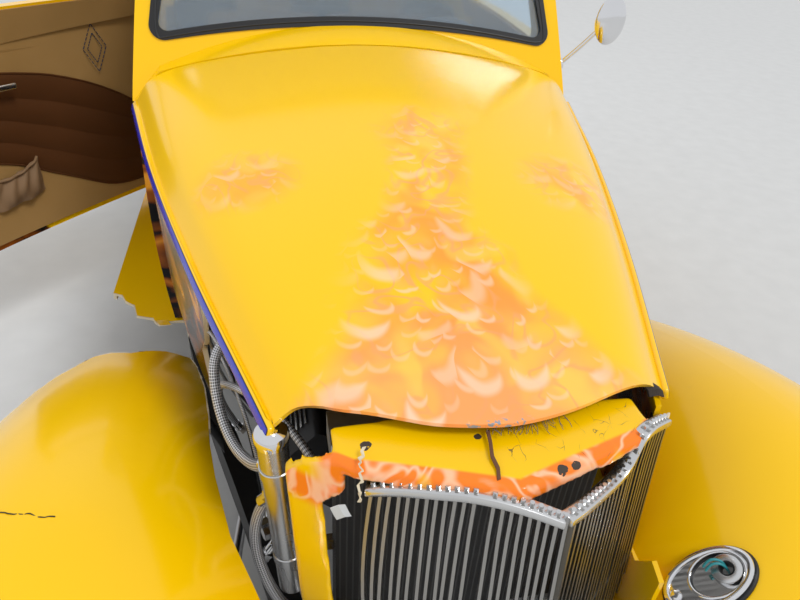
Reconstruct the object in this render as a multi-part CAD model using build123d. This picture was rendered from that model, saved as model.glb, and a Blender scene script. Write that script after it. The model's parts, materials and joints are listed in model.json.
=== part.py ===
from build123d import *
import os
from math import atan2, cos, degrees, hypot, radians, sin

os.makedirs("parts", exist_ok=True)

# Frame: millimetres, +Z up, the car faces -Y, +X is the car's left.
# The origin is on the floor, on the centre plane, below the front axle.

# Wheels and tyres
wheelbase = 2845.0
front_half_track = 700.0
rear_half_track = 695.0
front_tyre_radius = 310.0
front_tyre_width = 185.0
rear_tyre_radius = 355.0
rear_tyre_width = 250.0
front_rim_radius = 190.0
rear_rim_radius = 203.0
rim_wall = 9.0
rim_lip = 12.0
spoke_count = 5
spoke_width = 52.0
hub_radius = 62.0
hub_bore_radius = 22.0
running_fit = 0.05

# Body shell
side_wall = 45.0
top_wall = 15.0
tail_wall = 35.0
cowl_front_y = 1242.0
hood_gap = 8.0
door_gap = 8.0
body_foot_z = 345.0

# Windscreen plane
screen_base_y = 1328.0
screen_base_z = 1128.0
screen_rake = 22.3
screen_half_width_base = 540.0
screen_half_width_top = 480.0
screen_height = 315.0
screen_base_arch = 50.0
screen_top_arch = 22.0
gasket_width = 24.0
gasket_depth = 16.0
glass_thickness = 6.0

# Doors, hinged at their rear edge
door_front_y = 1376.0
door_hinge_y = 2340.0
door_bottom_z = 385.0
door_top_z = 1338.0
door_rest_open = 43.0
door_trim_thickness = 10.0
hinge_x = 700.0
hinge_barrel_radius = 9.0
hinge_barrel_length = 80.0
hinge_pin_radius = 4.0
hinge_heights = (500.0, 760.0, 1000.0)
sill_window_z = 1122.0
window_top_z = 1306.0

# Hood
hood_skin = 12.0
hood_bead_radius = 8.0
hood_pivot_back = 100.0
hood_pivot_drop = 28.0
hood_pivot_x = 90.0

# Chassis
rail_width = 48.0
rail_wall = 5.0
fibreglass = 8.0
board_top_z = 335.0
board_thickness = 22.0
board_outer_x = 782.0

# Steering
kingpin_x = 596.0
kingpin_radius = 11.0
steer_arm_length = 150.0
wheel_rim_radius = 180.0
steering_wheel_centre = (300.0, 1700.0, 985.0)
column_tilt = 27.0


def block(x, y, z):
    """Box from its low and high X, Y and Z."""
    low, high = (x[0], y[0], z[0]), (x[1], y[1], z[1])
    size = [b - a for a, b in zip(low, high)]
    centre = [(a + b) / 2 for a, b in zip(low, high)]
    return Pos(*centre) * Box(*size)


def rod(start, end, radius):
    """Round bar from one point to another."""
    start, end = Vector(*start), Vector(*end)
    plane = Plane(origin=start, z_dir=end - start)
    return Solid.make_cylinder(radius, (end - start).length, plane)


def pipe(start, end, radius, wall):
    """Round tube from one point to another."""
    start, end = Vector(*start), Vector(*end)
    plane = Plane(origin=start, z_dir=end - start)
    length = (end - start).length
    return Solid.make_cylinder(radius, length, plane) - Solid.make_cylinder(radius - wall, length, plane)


def side_prism(points, x_low, x_high):
    """Outline in (y, z), pulled along X."""
    wire = Wire.make_polygon([(x_low, y, z) for y, z in points])
    return Solid.extrude(Face(wire), Vector(x_high - x_low, 0, 0))


def plan_prism(points, z_low, z_high):
    """Outline in (x, y), pulled along Z."""
    wire = Wire.make_polygon([(x, y, z_low) for x, y in points])
    return Solid.extrude(Face(wire), Vector(0, 0, z_high - z_low))


def front_prism(points, y_low, y_high):
    """Outline in (x, z), pulled along Y."""
    wire = Wire.make_polygon([(x, y_low, z) for x, z in points])
    return Solid.extrude(Face(wire), Vector(0, y_high - y_low, 0))


def bent_bar(points, radius, bend):
    """Round bar along straight runs with rounded corners."""
    path = FilletPolyline(*points, radius=bend)
    start = Plane(origin=path @ 0, z_dir=path % 0)
    return sweep(start * Circle(radius), path=path)


def on_right(shape):
    """The same shape on the car's right."""
    return shape.mirror(Plane.YZ)


def solids_of(shape):
    """All solids of a shape or of a list of shapes."""
    if isinstance(shape, (list, tuple)):
        return [solid for item in shape for solid in solids_of(item)]
    return list(shape.solids())


def largest(shape):
    """The largest solid of a shape, without the slivers that a cut along a skin leaves."""
    return max(shape.solids(), key=lambda solid: solid.volume)


def write(node, *shapes):
    """Write one node's solids to its STEP file."""
    found = solids_of(list(shapes))
    result = found[0] if len(found) == 1 else Compound(children=found)
    result.label = node
    export_step(result, f"parts/{node}.step")
    return result


# Cowl section, shared by the hood's rear edge: belt half width and height, shoulder half width and height, crown height
cowl_belt_x, cowl_belt_z = 574.0, 1007.0
cowl_shoulder_x, cowl_shoulder_z = 508.0, 1082.0
cowl_crown_z = 1152.0

# Lower body sections, front to tail:
# station y, sill x and z, waist x and z, belt x and z, shoulder x and z, crown z
BODY = (
    (cowl_front_y, 572.0, body_foot_z, 590.0, 700.0, cowl_belt_x, cowl_belt_z,
     cowl_shoulder_x, cowl_shoulder_z, cowl_crown_z),
    (1560.0, 612.0, body_foot_z, 634.0, 700.0, 622.0, 1022.0, 540.0, 1082.0, 1178.0),
    (2000.0, 642.0, body_foot_z, 668.0, 705.0, 656.0, 1045.0, 525.0, 1084.0, 1185.0),
    (2340.0, 650.0, body_foot_z, 676.0, 710.0, 662.0, 1056.0, 540.0, 1085.0, 1174.0),
    (2750.0, 628.0, 352.0, 654.0, 705.0, 636.0, 1046.0, 560.0, 1072.0, 1108.0),
    (3150.0, 540.0, 372.0, 574.0, 690.0, 552.0, 955.0, 478.0, 980.0, 1008.0),
    (3420.0, 430.0, 396.0, 468.0, 630.0, 446.0, 800.0, 376.0, 824.0, 848.0),
    (3580.0, 320.0, 420.0, 352.0, 550.0, 330.0, 640.0, 276.0, 656.0, 672.0),
)

# Cabin top sections, front to tail: station y, foot half width, shoulder half width and height, roof height
CABIN = (
    (1200.0, 572.0, 520.0, 1300.0, 1412.0),
    (1500.0, 618.0, 545.0, 1352.0, 1496.0),
    (1850.0, 646.0, 560.0, 1380.0, 1545.0),
    (2250.0, 652.0, 548.0, 1352.0, 1522.0),
    (2560.0, 630.0, 500.0, 1232.0, 1400.0),
    (2760.0, 600.0, 440.0, 1110.0, 1235.0),
    (2900.0, 560.0, 380.0, 1020.0, 1066.0),
)
cabin_foot_z = 1000.0
shoulder_run = 90.0


def body_section(row, side, top, drop, shift=0.0):
    """Closed outline of the lower body at one station, set in by the side and top walls."""
    y, sill_x, sill_z, waist_x, waist_z, belt_x, belt_z, shoulder_x, shoulder_z, crown_z = row
    y += shift
    sill_x, waist_x, belt_x, shoulder_x = (x - side for x in (sill_x, waist_x, belt_x, shoulder_x))
    belt_z, shoulder_z, crown_z = belt_z - top, shoulder_z - top, crown_z - top
    sill_z -= drop
    return Wire(
        [
            ThreePointArc((-belt_x, y, belt_z), (-waist_x, y, waist_z), (-sill_x, y, sill_z)),
            Line((-sill_x, y, sill_z), (sill_x, y, sill_z)),
            ThreePointArc((sill_x, y, sill_z), (waist_x, y, waist_z), (belt_x, y, belt_z)),
            Line((belt_x, y, belt_z), (shoulder_x, y, shoulder_z)),
            ThreePointArc((shoulder_x, y, shoulder_z), (0, y, crown_z), (-shoulder_x, y, shoulder_z)),
            Line((-shoulder_x, y, shoulder_z), (-belt_x, y, belt_z)),
        ]
    )


def lower_body(side=0.0, top=0.0, drop=0.0, front=0.0, back=0.0):
    """Loft of the lower body, whole or set in by the walls."""
    last = len(BODY) - 1
    shifts = [front if i == 0 else back if i == last else 0.0 for i in range(len(BODY))]
    wires = [body_section(row, side, top, drop, shift) for row, shift in zip(BODY, shifts)]
    return Solid.make_loft(wires)


def cabin_section(row, inset, drop):
    """Closed outline of the cabin top at one station, set in by its wall."""
    y, foot_x, shoulder_x, shoulder_z, roof_z = row
    foot_x, shoulder_x = foot_x - inset, shoulder_x - inset
    shoulder_z, roof_z = shoulder_z - inset / 2, roof_z - inset
    foot_z = cabin_foot_z - drop
    inner_x = shoulder_x - shoulder_run
    inner_z = shoulder_z + 0.62 * (roof_z - shoulder_z)
    mid_x = shoulder_x - 0.28 * shoulder_run
    mid_z = shoulder_z + 0.38 * (roof_z - shoulder_z)
    foot = Line((-foot_x, y, foot_z), (foot_x, y, foot_z))
    left = Line((foot_x, y, foot_z), (shoulder_x, y, shoulder_z))
    left_turn = ThreePointArc((shoulder_x, y, shoulder_z), (mid_x, y, mid_z), (inner_x, y, inner_z))
    roof = ThreePointArc((inner_x, y, inner_z), (0, y, roof_z), (-inner_x, y, inner_z))
    right_turn = ThreePointArc((-inner_x, y, inner_z), (-mid_x, y, mid_z), (-shoulder_x, y, shoulder_z))
    right = Line((-shoulder_x, y, shoulder_z), (-foot_x, y, foot_z))
    return Wire([foot, left, left_turn, roof, right_turn, right])


def screen_side(offset):
    """Everything ahead of the windscreen plane, moved back by an offset."""
    slope = sin(radians(screen_rake)) / cos(radians(screen_rake))
    shift = offset / cos(radians(screen_rake))
    low_z, high_z = 600.0, 1800.0
    low_y = screen_base_y + (low_z - screen_base_z) * slope + shift
    high_y = screen_base_y + (high_z - screen_base_z) * slope + shift
    return side_prism([(0, low_z), (low_y, low_z), (high_y, high_z), (0, high_z)], -1000, 1000)


def cabin_top(inset=0.0, drop=0.0):
    """Loft of the cabin top, cut along the windscreen plane."""
    loft = Solid.make_loft([cabin_section(row, inset, drop) for row in CABIN])
    return loft - screen_side(inset)


body_outer = (lower_body() + cabin_top()).solid()
body_cavity = (
    lower_body(side_wall, top_wall, 60.0, -20.0, -tail_wall) + cabin_top(side_wall - 5.0, 10.0)
).solid()
trim_cavity = (
    lower_body(side_wall + door_trim_thickness, top_wall, 60.0, -20.0, -tail_wall)
    + cabin_top(side_wall - 5.0 + door_trim_thickness, 10.0)
).solid()
body_ring = body_outer - body_cavity


def screen_plane(offset=0.0):
    """Plane of the windscreen, its origin at the centre of the opening's foot."""
    tilt = radians(screen_rake)
    normal = Vector(0, -cos(tilt), sin(tilt))
    origin = Vector(0, screen_base_y, screen_base_z) + normal * offset
    return Plane(origin=origin, x_dir=(1, 0, 0), z_dir=normal)


def screen_outline(margin):
    """Face of the windscreen opening, made smaller by a margin."""
    base_x, top_x = screen_half_width_base - margin, screen_half_width_top - margin
    low, high = margin, screen_height - margin
    edges = [
        ThreePointArc((-base_x, low), (0, low + screen_base_arch), (base_x, low)),
        Line((base_x, low), (top_x, high)),
        ThreePointArc((top_x, high), (0, high + screen_top_arch), (-top_x, high)),
        Line((-top_x, high), (-base_x, low)),
    ]
    face = Face(Wire(edges))
    return face.fillet_2d(34.0 - margin / 2, face.vertices())


def screen_solid(margin, front, depth):
    """Solid of the windscreen's outline, its front face proud by a distance."""
    face = screen_plane(front) * screen_outline(margin)
    normal = screen_plane().z_dir
    return Solid.extrude(face, normal * -depth)


def rounded_side(points, radius, x_low, x_high):
    """Outline in (y, z) with all corners rounded, pulled along X."""
    face = Face(Wire.make_polygon([(x_low, y, z) for y, z in points]))
    face = face.fillet_2d(radius, face.vertices())
    return Solid.extrude(face, Vector(x_high - x_low, 0, 0))


def door_outline(margin):
    """Corners of the door in (y, z), made larger by a margin."""
    front, rear = door_front_y - margin, door_hinge_y - 4.0 + margin
    low, high = door_bottom_z - margin, door_top_z + margin
    belt = 1030.0
    lean = (high - belt) * 0.36
    return [(front, low), (rear, low), (rear, high), (front + lean + 14, high), (front + 8, belt)]


def door_prism(margin):
    """Space of one door on the car's left."""
    return rounded_side(door_outline(margin), 26.0, 300, 900)


def window_prism(grow=0.0):
    """Space of one door window on the car's left."""
    points = [
        (door_front_y + 108 - grow, sill_window_z - grow),
        (door_hinge_y - 90 + grow, sill_window_z - grow),
        (door_hinge_y - 104 + grow, window_top_z + grow),
        (door_front_y + 168 - grow, window_top_z + grow),
    ]
    return rounded_side(points, 30.0 + grow, 300, 900)


def hinge_barrel(z, low, high, reach):
    """One knuckle of a door hinge with the leaf that carries it."""
    body = Pos(hinge_x, door_hinge_y, z + (low + high) / 2) * Cylinder(hinge_barrel_radius, high - low)
    y_span = (door_hinge_y - 34, door_hinge_y - 6) if reach < 0 else (door_hinge_y + 6, door_hinge_y + 34)
    leaf = block((650.0, hinge_x), y_span, (z + low, z + high))
    web = block((hinge_x - 7, hinge_x + 7), sorted((door_hinge_y, door_hinge_y + reach * 10)), (z + low, z + high))
    pin_hole = Pos(hinge_x, door_hinge_y, z) * Cylinder(hinge_pin_radius + running_fit, 200)
    return body + web + leaf - pin_hole


knuckle = hinge_barrel_length / 4
door_knuckles = [hinge_barrel(z, -knuckle, knuckle, -1) for z in hinge_heights]
body_knuckles = [
    hinge_barrel(z, low, high, 1)
    for z in hinge_heights
    for low, high in ((-2 * knuckle, -knuckle - 0.3), (knuckle + 0.3, 2 * knuckle))
]
hinge_pins = [
    rod((hinge_x, door_hinge_y, z - 2 * knuckle - 2), (hinge_x, door_hinge_y, z + 2 * knuckle + 2), hinge_pin_radius)
    for z in hinge_heights
]


def left_door():
    """Door skin with its window cut and its hinge knuckles."""
    door = (body_ring & door_prism(0.0)) - window_prism()
    for part in door_knuckles:
        door = door + (part - body_cavity)
    return largest(door)


def left_trim():
    """Inner trim panel of the door, against the door's inner face."""
    outline = [
        (door_front_y + 22, door_bottom_z + 20),
        (door_hinge_y - 26, door_bottom_z + 20),
        (door_hinge_y - 26, sill_window_z - 8),
        (door_front_y + 66, sill_window_z - 8),
        (door_front_y + 30, 1030.0),
    ]
    return largest((body_cavity & rounded_side(outline, 20.0, 300, 900)) - trim_cavity)


def swung(shape, angle):
    """A right-hand door piece turned open about its hinge."""
    axis = Axis((-hinge_x, door_hinge_y, 0), (0, 0, 1))
    return shape.rotate(axis, -angle)


door_shape = left_door()
trim_shape = left_trim()
write("door_left", door_shape)
write("door_trim_left", trim_shape)
write("door_right", swung(on_right(door_shape), door_rest_open))
write("door_trim_right", swung(on_right(trim_shape), door_rest_open))

# Deck lid
lid_front_y = 2925.0
lid_rear_y = 3470.0
lid_front_x = 400.0
lid_rear_x = 280.0
lid_gap = 8.0
lid_pivot_y = 2823.0
lid_pivot_z = 1064.0
lid_pivot_x = 90.0


def lid_prism(margin):
    """Space of the deck lid seen in plan."""
    points = [
        (-lid_front_x - margin, lid_front_y - margin),
        (lid_front_x + margin, lid_front_y - margin),
        (lid_rear_x + margin, lid_rear_y + margin),
        (-lid_rear_x - margin, lid_rear_y + margin),
    ]
    face = Face(Wire.make_polygon([(x, y, 560.0) for x, y in points]))
    face = face.fillet_2d(50.0, face.vertices())
    return Solid.extrude(face, Vector(0, 0, 700.0))


def goose_neck(x, pivot, points, end):
    """Bent hinge arm with its sleeve round the pivot, ending in the lid that it carries."""
    y, z = pivot
    sleeve = rod((x - 9, y, z), (x + 9, y, z), 9.0)
    path = [(x, y, z), *[(x, y + dy, z + dz) for dy, dz in points], (x, *end)]
    arm = bent_bar(path, 6.0, 14.0)
    return sleeve + arm - rod((x - 30, y, z), (x + 30, y, z), hinge_pin_radius + running_fit)


lid_skin = (lower_body() - lower_body(side_wall, top_wall, 60.0, -20.0, -top_wall)) & lid_prism(0.0)
lid_arms = [
    goose_neck(x, (lid_pivot_y, lid_pivot_z), ((80, -82), (150, -70)), (3010.0, 1042.0))
    for x in (-lid_pivot_x, lid_pivot_x)
]
above_lid = lower_body(0.0, 6.0)
deck_lid = lid_skin + [arm & above_lid for arm in lid_arms]
write("deck_lid", deck_lid)

# Rear fenders, outboard of the body: station y, inner x and z, crown x and z, lip x and z
rear_axle_y = wheelbase
REAR_FENDER = (
    (2352.0, 540.0, 362.0, 670.0, 384.0, 782.0, 352.0),
    (2450.0, 540.0, 596.0, 690.0, 632.0, 826.0, 540.0),
    (2600.0, 540.0, 744.0, 694.0, 782.0, 850.0, 640.0),
    (2820.0, 540.0, 808.0, 700.0, 848.0, 860.0, 702.0),
    (3050.0, 480.0, 762.0, 690.0, 806.0, 848.0, 664.0),
    (3250.0, 420.0, 620.0, 660.0, 668.0, 812.0, 536.0),
    (3390.0, 380.0, 420.0, 620.0, 448.0, 756.0, 386.0),
)
rear_arch_radius = 384.0
rear_fender_foot_z = 340.0

# Front fender: station y, inner x and z, crown x and z, lip x and z
FRONT_FENDER = (
    (-492.0, 436.0, 326.0, 560.0, 340.0, 664.0, 322.0),
    (-462.0, 404.0, 452.0, 562.0, 486.0, 690.0, 430.0),
    (-380.0, 350.0, 552.0, 572.0, 624.0, 760.0, 494.0),
    (-200.0, 276.0, 616.0, 584.0, 742.0, 830.0, 590.0),
    (0.0, 256.0, 640.0, 590.0, 790.0, 856.0, 628.0),
    (250.0, 312.0, 628.0, 592.0, 782.0, 858.0, 610.0),
    (500.0, 378.0, 600.0, 598.0, 712.0, 850.0, 520.0),
    (800.0, 462.0, 512.0, 632.0, 572.0, 824.0, 440.0),
    (1080.0, 524.0, 390.0, 664.0, 416.0, 796.0, 360.0),
    (1250.0, 528.0, 332.0, 670.0, board_top_z, board_outer_x, 324.0),
)
front_arch_radius = 372.0
fender_foot_z = 150.0
front_fender_foot_z = board_top_z - board_thickness


def fender_section(row, skin, spread):
    """Closed outline of a fender at one station: crown arcs set in by the skin, down to a low foot."""
    y, inner_x, inner_z, crown_x, crown_z, lip_x, lip_z = row

    def arc_end(end_x, end_z, x):
        """Height at x of the arc that leaves the crown level and ends at the given point, set in by the skin."""
        run, fall = abs(end_x - crown_x), crown_z - end_z
        radius = (run * run + fall * fall) / (2 * fall)
        inner_radius = radius - skin
        return crown_z - radius + (inner_radius**2 - (x - crown_x) ** 2) ** 0.5

    in_x, out_x = inner_x - spread, lip_x - skin
    in_z, out_z = arc_end(inner_x, inner_z, in_x), arc_end(lip_x, lip_z, out_x)
    top_z, low = crown_z - skin, fender_foot_z - skin
    return Wire(
        [
            TangentArc((crown_x, y, top_z), (in_x, y, in_z), tangent=(-1, 0, 0)),
            Line((in_x, y, in_z), (in_x, y, low)),
            Line((in_x, y, low), (out_x, y, low)),
            Line((out_x, y, low), (out_x, y, out_z)),
            TangentArc((crown_x, y, top_z), (out_x, y, out_z), tangent=(1, 0, 0)),
        ]
    )


def fender_solid(table, skin=0.0, spread=0.0, front=0.0, back=0.0):
    """Loft under a fender's skin, or of its outside when the skin is nought."""
    first, last = table[0], table[-1]
    rows = [(first[0] + front,) + first[1:], *table[1:-1], (last[0] + back,) + last[1:]]
    return Solid.make_loft([fender_section(row, skin, spread) for row in rows])


def wheel_opening(y, z, radius, inner_x):
    """Round wheel opening through a fender's outer side."""
    return rod((inner_x, y, z), (1000, y, z), radius)


front_fender_outer = fender_solid(FRONT_FENDER)
front_fender_inner = fender_solid(FRONT_FENDER, fibreglass, 20.0, 14.0, 30.0)
rear_fender_outer = fender_solid(REAR_FENDER)
rear_fender_inner = fender_solid(REAR_FENDER, fibreglass, 20.0, 10.0, -10.0)

# Hood and its sides: station y, belt x and z, shoulder x and z, crown z, foot x and z of the hood side
HOOD = (
    (70.0, 246.0, 917.0, 196.0, 965.0, 975.0, 254.0, 650.0),
    (140.0, 268.0, 923.0, 216.0, 971.0, 981.0, 276.0, 642.0),
    (500.0, 387.0, 951.0, 332.0, 1011.0, 1042.0, 380.0, 606.0),
    (870.0, 492.0, 979.0, 432.0, 1050.0, 1101.0, 480.0, 566.0),
    (cowl_front_y - hood_gap, cowl_belt_x, cowl_belt_z, cowl_shoulder_x, cowl_shoulder_z, cowl_crown_z,
     564.0, 520.0),
)
hood_side_gap = 8.0
hood_side_wall = 9.0
hood_lip_centre_y = 86.0
hood_lip_corner = (264.0, 133.0)
apron_gap = 4.0


def hood_section(row, skin, drop):
    """Closed outline of the hood at one station, set in by its skin."""
    y, belt_x, belt_z, shoulder_x, shoulder_z, crown_z = row[:6]
    belt_x, shoulder_x = belt_x - skin, shoulder_x - skin * 0.8
    shoulder_z, crown_z = shoulder_z - skin, crown_z - skin
    belt_z -= drop
    return Wire(
        [
            Line((-belt_x, y, belt_z), (belt_x, y, belt_z)),
            Line((belt_x, y, belt_z), (shoulder_x, y, shoulder_z)),
            ThreePointArc((shoulder_x, y, shoulder_z), (0, y, crown_z), (-shoulder_x, y, shoulder_z)),
            Line((-shoulder_x, y, shoulder_z), (-belt_x, y, belt_z)),
        ]
    )


def hood_loft(skin=0.0, drop=0.0, overrun=0.0):
    """Loft of the hood's outside, or of the space under its skin."""
    rows = [*HOOD[:-1], (HOOD[-1][0] + overrun,) + HOOD[-1][1:]]
    return Solid.make_loft([hood_section(row, skin, drop) for row in rows])


def ahead_of_lip():
    """Everything ahead of the hood's curved front edge."""
    corner_x, corner_y = hood_lip_corner
    edge = ThreePointArc((-corner_x, corner_y, 800), (0, hood_lip_centre_y, 800), (corner_x, corner_y, 800))
    sides = Polyline(
        (corner_x, corner_y, 800), (400, corner_y + 30, 800), (400, 0, 800), (-400, 0, 800),
        (-400, corner_y + 30, 800), (-corner_x, corner_y, 800)
    )
    return Solid.extrude(Face(Wire([edge, *sides.edges()])), Vector(0, 0, 400))


hood_shell = hood_loft() - hood_loft(hood_skin, 60.0, 20.0) - ahead_of_lip()
bead_points = [(row[1] + 1.0, row[0], row[2]) for row in HOOD[1:-1]]
bead_points.append((cowl_belt_x + 1.0, HOOD[-1][0] - 1.0, cowl_belt_z))
hood_bead = bent_bar(bead_points, hood_bead_radius, 300.0)
hood_pivot = (cowl_front_y - hood_gap + hood_pivot_back, cowl_crown_z - hood_pivot_drop)
hood_arms = [
    goose_neck(x, hood_pivot, ((-80, -70), (-150, -40)), (1166.0, 1144.0)) for x in (-hood_pivot_x, hood_pivot_x)
]
below_hood = hood_loft(4.0, 300.0, 200.0)
hood_front_stay = (block((-220, 220), (150, 190), (900, 1000)) & hood_loft(4.0, 40.0)) - block(
    (-300, 300), (100, 200), (880, 948)
)
hood_top = hood_shell + hood_bead + on_right(hood_bead) + hood_front_stay
for arm in hood_arms:
    hood_top = hood_top + (arm & below_hood)
write("hood_top", hood_top)


def hood_side_section(row):
    """Closed outline of one hood side at one station."""
    y, belt_x, belt_z = row[:3]
    foot_x, foot_z = row[6:]
    top_z = belt_z - hood_side_gap - hood_bead_radius
    inner = hood_side_wall
    return Wire.make_polygon(
        [(belt_x, y, top_z), (foot_x, y, foot_z), (foot_x - inner, y, foot_z), (belt_x - inner, y, top_z)]
    )


hood_side = Solid.make_loft([hood_side_section(row) for row in HOOD[1:]])
torn_side = [(0, 0), (540, 0), (600, 560), (566, 640), (590, 720), (530, 790), (508, 842), (540, 1100), (0, 1100)]
write("hood_sides", hood_side, on_right(hood_side - side_prism(torn_side, 0, 900)))

# Seat of a headlamp base on the front fender, and the hole that its stalk goes through
lamp_point = (322.0, -9.0, 700.5)
lamp_normal = Vector(-0.595, 0, 0.804)
lamp_slope = Vector(0.804, 0, 0.595)
lamp_oval = (66.0, 40.0)
lamp_dish = (40.0, 30.0)
lamp_dish_shift = 14.0
lamp_boss_shift = 30.0
lamp_boss_radius = 21.0
lamp_bore = 11.0
lamp_centre = Vector(*lamp_point) + lamp_slope * lamp_boss_shift
lamp_hole = rod(lamp_centre - lamp_normal * 60.0, lamp_centre + lamp_normal * 30.0, lamp_bore + 3.0)

# Front fenders: the left one whole with its apron and board, the right one torn in two
board = plan_prism(
    [(520.3, 1240), (board_outer_x, 1240), (board_outer_x + 2, 2340), (board_outer_x - 4, 2350), (520.3, 2350)],
    board_top_z - board_thickness, board_top_z
)
board_hollow = plan_prism(
    [(532, 1200), (board_outer_x - 10, 1200), (board_outer_x - 8, 2342), (532, 2342)],
    board_top_z - board_thickness - 1, board_top_z - fibreglass
)
apron_line = [(row[1], row[0]) for row in FRONT_FENDER[4:-1]] + [(528.0, 1240.0)]
apron_ribbon = apron_line + [(x - fibreglass, y) for x, y in reversed(apron_line)]
apron = plan_prism(apron_ribbon, front_fender_foot_z, 700)
apron = apron - side_prism([(-100, 200), (-100, 400), (0, 392), (300, 344), (700, front_fender_foot_z), (700, 200)], 200, 600)
apron = apron - side_prism(
    [(-100, 900)] + [(row[0], row[7] - apron_gap) for row in HOOD] + [(1300, 512), (1300, 900)], 200, 600
)
front_skin = (front_fender_outer - front_fender_inner) - wheel_opening(
    0, front_tyre_radius, front_arch_radius, 640
)
front_skin = front_skin - block((200, 1000), (-600, 1300), (0, front_fender_foot_z)) - lamp_hole
fender_left = front_skin + apron + (board - board_hollow)
fender_left = fender_left - body_outer
write("front_fender_left", largest(fender_left))

# Tears of the right fender, as (x, y) on the left before mirroring
front_tear = [
    (1000, 470), (800, 500), (776, 528), (752, 560), (742, 612), (716, 668), (690, 700), (668, 764), (630, 776),
    (590, 770), (566, 806), (532, 842), (500, 850), (470, 872), (430, 880), (380, 900)
]
inner_cut = [
    (256, -30), (300, 60), (346, 170), (375, 298), (392, 400), (402, 493), (424, 640), (452, 760), (470, 872), (200, 872)
]
rear_tear = [
    (1000, 1440), (790, 1424), (752, 1404), (736, 1368), (706, 1340), (690, 1282), (640, 1262), (612, 1200),
    (560, 1188), (520, 1150), (440, 1140)
]
right_front = front_skin - plan_prism(front_tear + [(380, 2400), (1000, 2400)], 0, 1200)
right_front = right_front - plan_prism(inner_cut + [(200, -30)], 0, 1200)
right_tail = (front_skin + apron + (board - board_hollow)) - plan_prism(
    rear_tear + [(300, 1140), (300, -700), (1000, -700)], 0, 1200
)
right_tail = right_tail - body_outer
write("front_fender_right", on_right(largest(right_front)))
write("running_board_right", on_right(largest(right_tail)))

# Rear fenders
rear_fender = (rear_fender_outer - rear_fender_inner) - wheel_opening(
    rear_axle_y, rear_tyre_radius, rear_arch_radius, 500
)
rear_fender = rear_fender - block((300, 1000), (2300, 3500), (0, rear_fender_foot_z)) - body_outer
for z in hinge_heights:
    rear_fender = rear_fender - block(
        (630, hinge_x + hinge_barrel_radius + 5), (door_hinge_y - 40, door_hinge_y + 38),
        (z - 2 * knuckle - 5, z + 2 * knuckle + 5)
    )
rear_fender = largest(rear_fender)
write("rear_fenders", rear_fender, on_right(rear_fender))

# Body shell with its openings
screen_opening = screen_solid(0.0, 80.0, 220.0)
rear_window_tilt = 39.5
rear_window_centre = (2656.0, 1330.0)
rear_window_size = (640.0, 168.0)


def rear_window(margin, depth):
    """Space of the rear window, along its slope."""
    y, z = rear_window_centre
    normal = Vector(0, sin(radians(rear_window_tilt)), cos(radians(rear_window_tilt)))
    plane = Plane(origin=Vector(0, y, z) + normal * 60, x_dir=(1, 0, 0), z_dir=normal)
    width, height = (size - 2 * margin for size in rear_window_size)
    face = plane * RectangleRounded(width, height, 60.0 - margin)
    return Solid.extrude(face.face(), normal * -depth)


wheel_house_radius = 402.0
wheel_house_x = 530.0
wheel_house_wall = 6.0
house_foot_z = 440.0
body_shell = body_ring
for side in (1, -1):
    openings = [
        door_prism(door_gap),
        rod((wheel_house_x, rear_axle_y, rear_tyre_radius), (900, rear_axle_y, rear_tyre_radius), rear_arch_radius - 4),
    ]
    for opening in openings:
        body_shell = body_shell - (opening if side > 0 else on_right(opening))
body_shell = body_shell - screen_opening - rear_window(0.0, 140.0) - lid_prism(lid_gap)
for part in body_knuckles:
    knuckle_shape = part - body_cavity
    body_shell = body_shell + knuckle_shape + on_right(knuckle_shape)
for pin in hinge_pins:
    body_shell = body_shell + pin + on_right(pin)
for z in (700.0, 880.0):
    side_tab = block((520, 566), (1200, cowl_front_y + 2), (z, z + 24)) - hood_side
    side_tab = largest(side_tab & block((500, 600), (1190, 1260), (0, 1200)))
    body_shell = body_shell + side_tab + on_right(side_tab)
write("body_shell", largest(body_shell))

# Glass and its gasket
screen_glass = screen_solid(gasket_width / 2, -4.0, glass_thickness)
rear_glass_space = cabin_top(10.0) - cabin_top(16.0)
rear_glass = largest((cabin_top(10.0) & rear_window(0.0, 140.0)) - cabin_top(16.0))
write("glazing", screen_glass, rear_glass)
gasket = screen_solid(0.0, 4.0, gasket_depth) - screen_solid(gasket_width, 40.0, 90.0) - screen_glass
write("windscreen_gasket", gasket)

# Floor, firewall, bulkhead, shelf and trunk floor, in one welded piece
sheet_wall = 6.0
floor_z = 387.0
firewall_y = 1356.0
riser_y = 2420.0
raised_floor_z = 520.0
bulkhead_y = 2600.0
shelf_z = 1012.0
trunk_floor_z = 600.0
tunnel_radius = 168.0
shaft_tunnel_radius = 74.0
tunnel_step_y = 1905.0


def cut_to_cavity(shape):
    """A panel trimmed to the inside of the body shell."""
    return shape & body_cavity


def half_tunnel(radius, wall, y_low, y_high):
    """Half-round tunnel over the gearbox and the propeller shaft."""
    outside = rod((0, y_low, floor_z), (0, y_high, floor_z), radius)
    inside = rod((0, y_low - 1, floor_z), (0, y_high + 1, floor_z), radius - wall)
    return (outside - inside) & block((-radius, radius), (y_low, y_high), (floor_z, floor_z + radius))


wide = (-700, 700)
floor_panel = block(wide, (firewall_y, riser_y), (floor_z, floor_z + sheet_wall))
floor_panel = floor_panel - block(
    (sheet_wall - tunnel_radius, tunnel_radius - sheet_wall), (firewall_y - 1, tunnel_step_y), (300, 500)
)
floor_panel = floor_panel - block(
    (sheet_wall - shaft_tunnel_radius, shaft_tunnel_radius - sheet_wall), (tunnel_step_y - 1, riser_y + 10), (300, 500)
)
firewall = block(wide, (firewall_y, firewall_y + sheet_wall), (floor_z, 1300)) - rod(
    (0, firewall_y - 1, floor_z), (0, firewall_y + 20, floor_z), tunnel_radius - sheet_wall
)
column_x, column_wheel_y, column_wheel_z = steering_wheel_centre
column_slope = (cos(radians(column_tilt)), sin(radians(column_tilt)))


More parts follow.
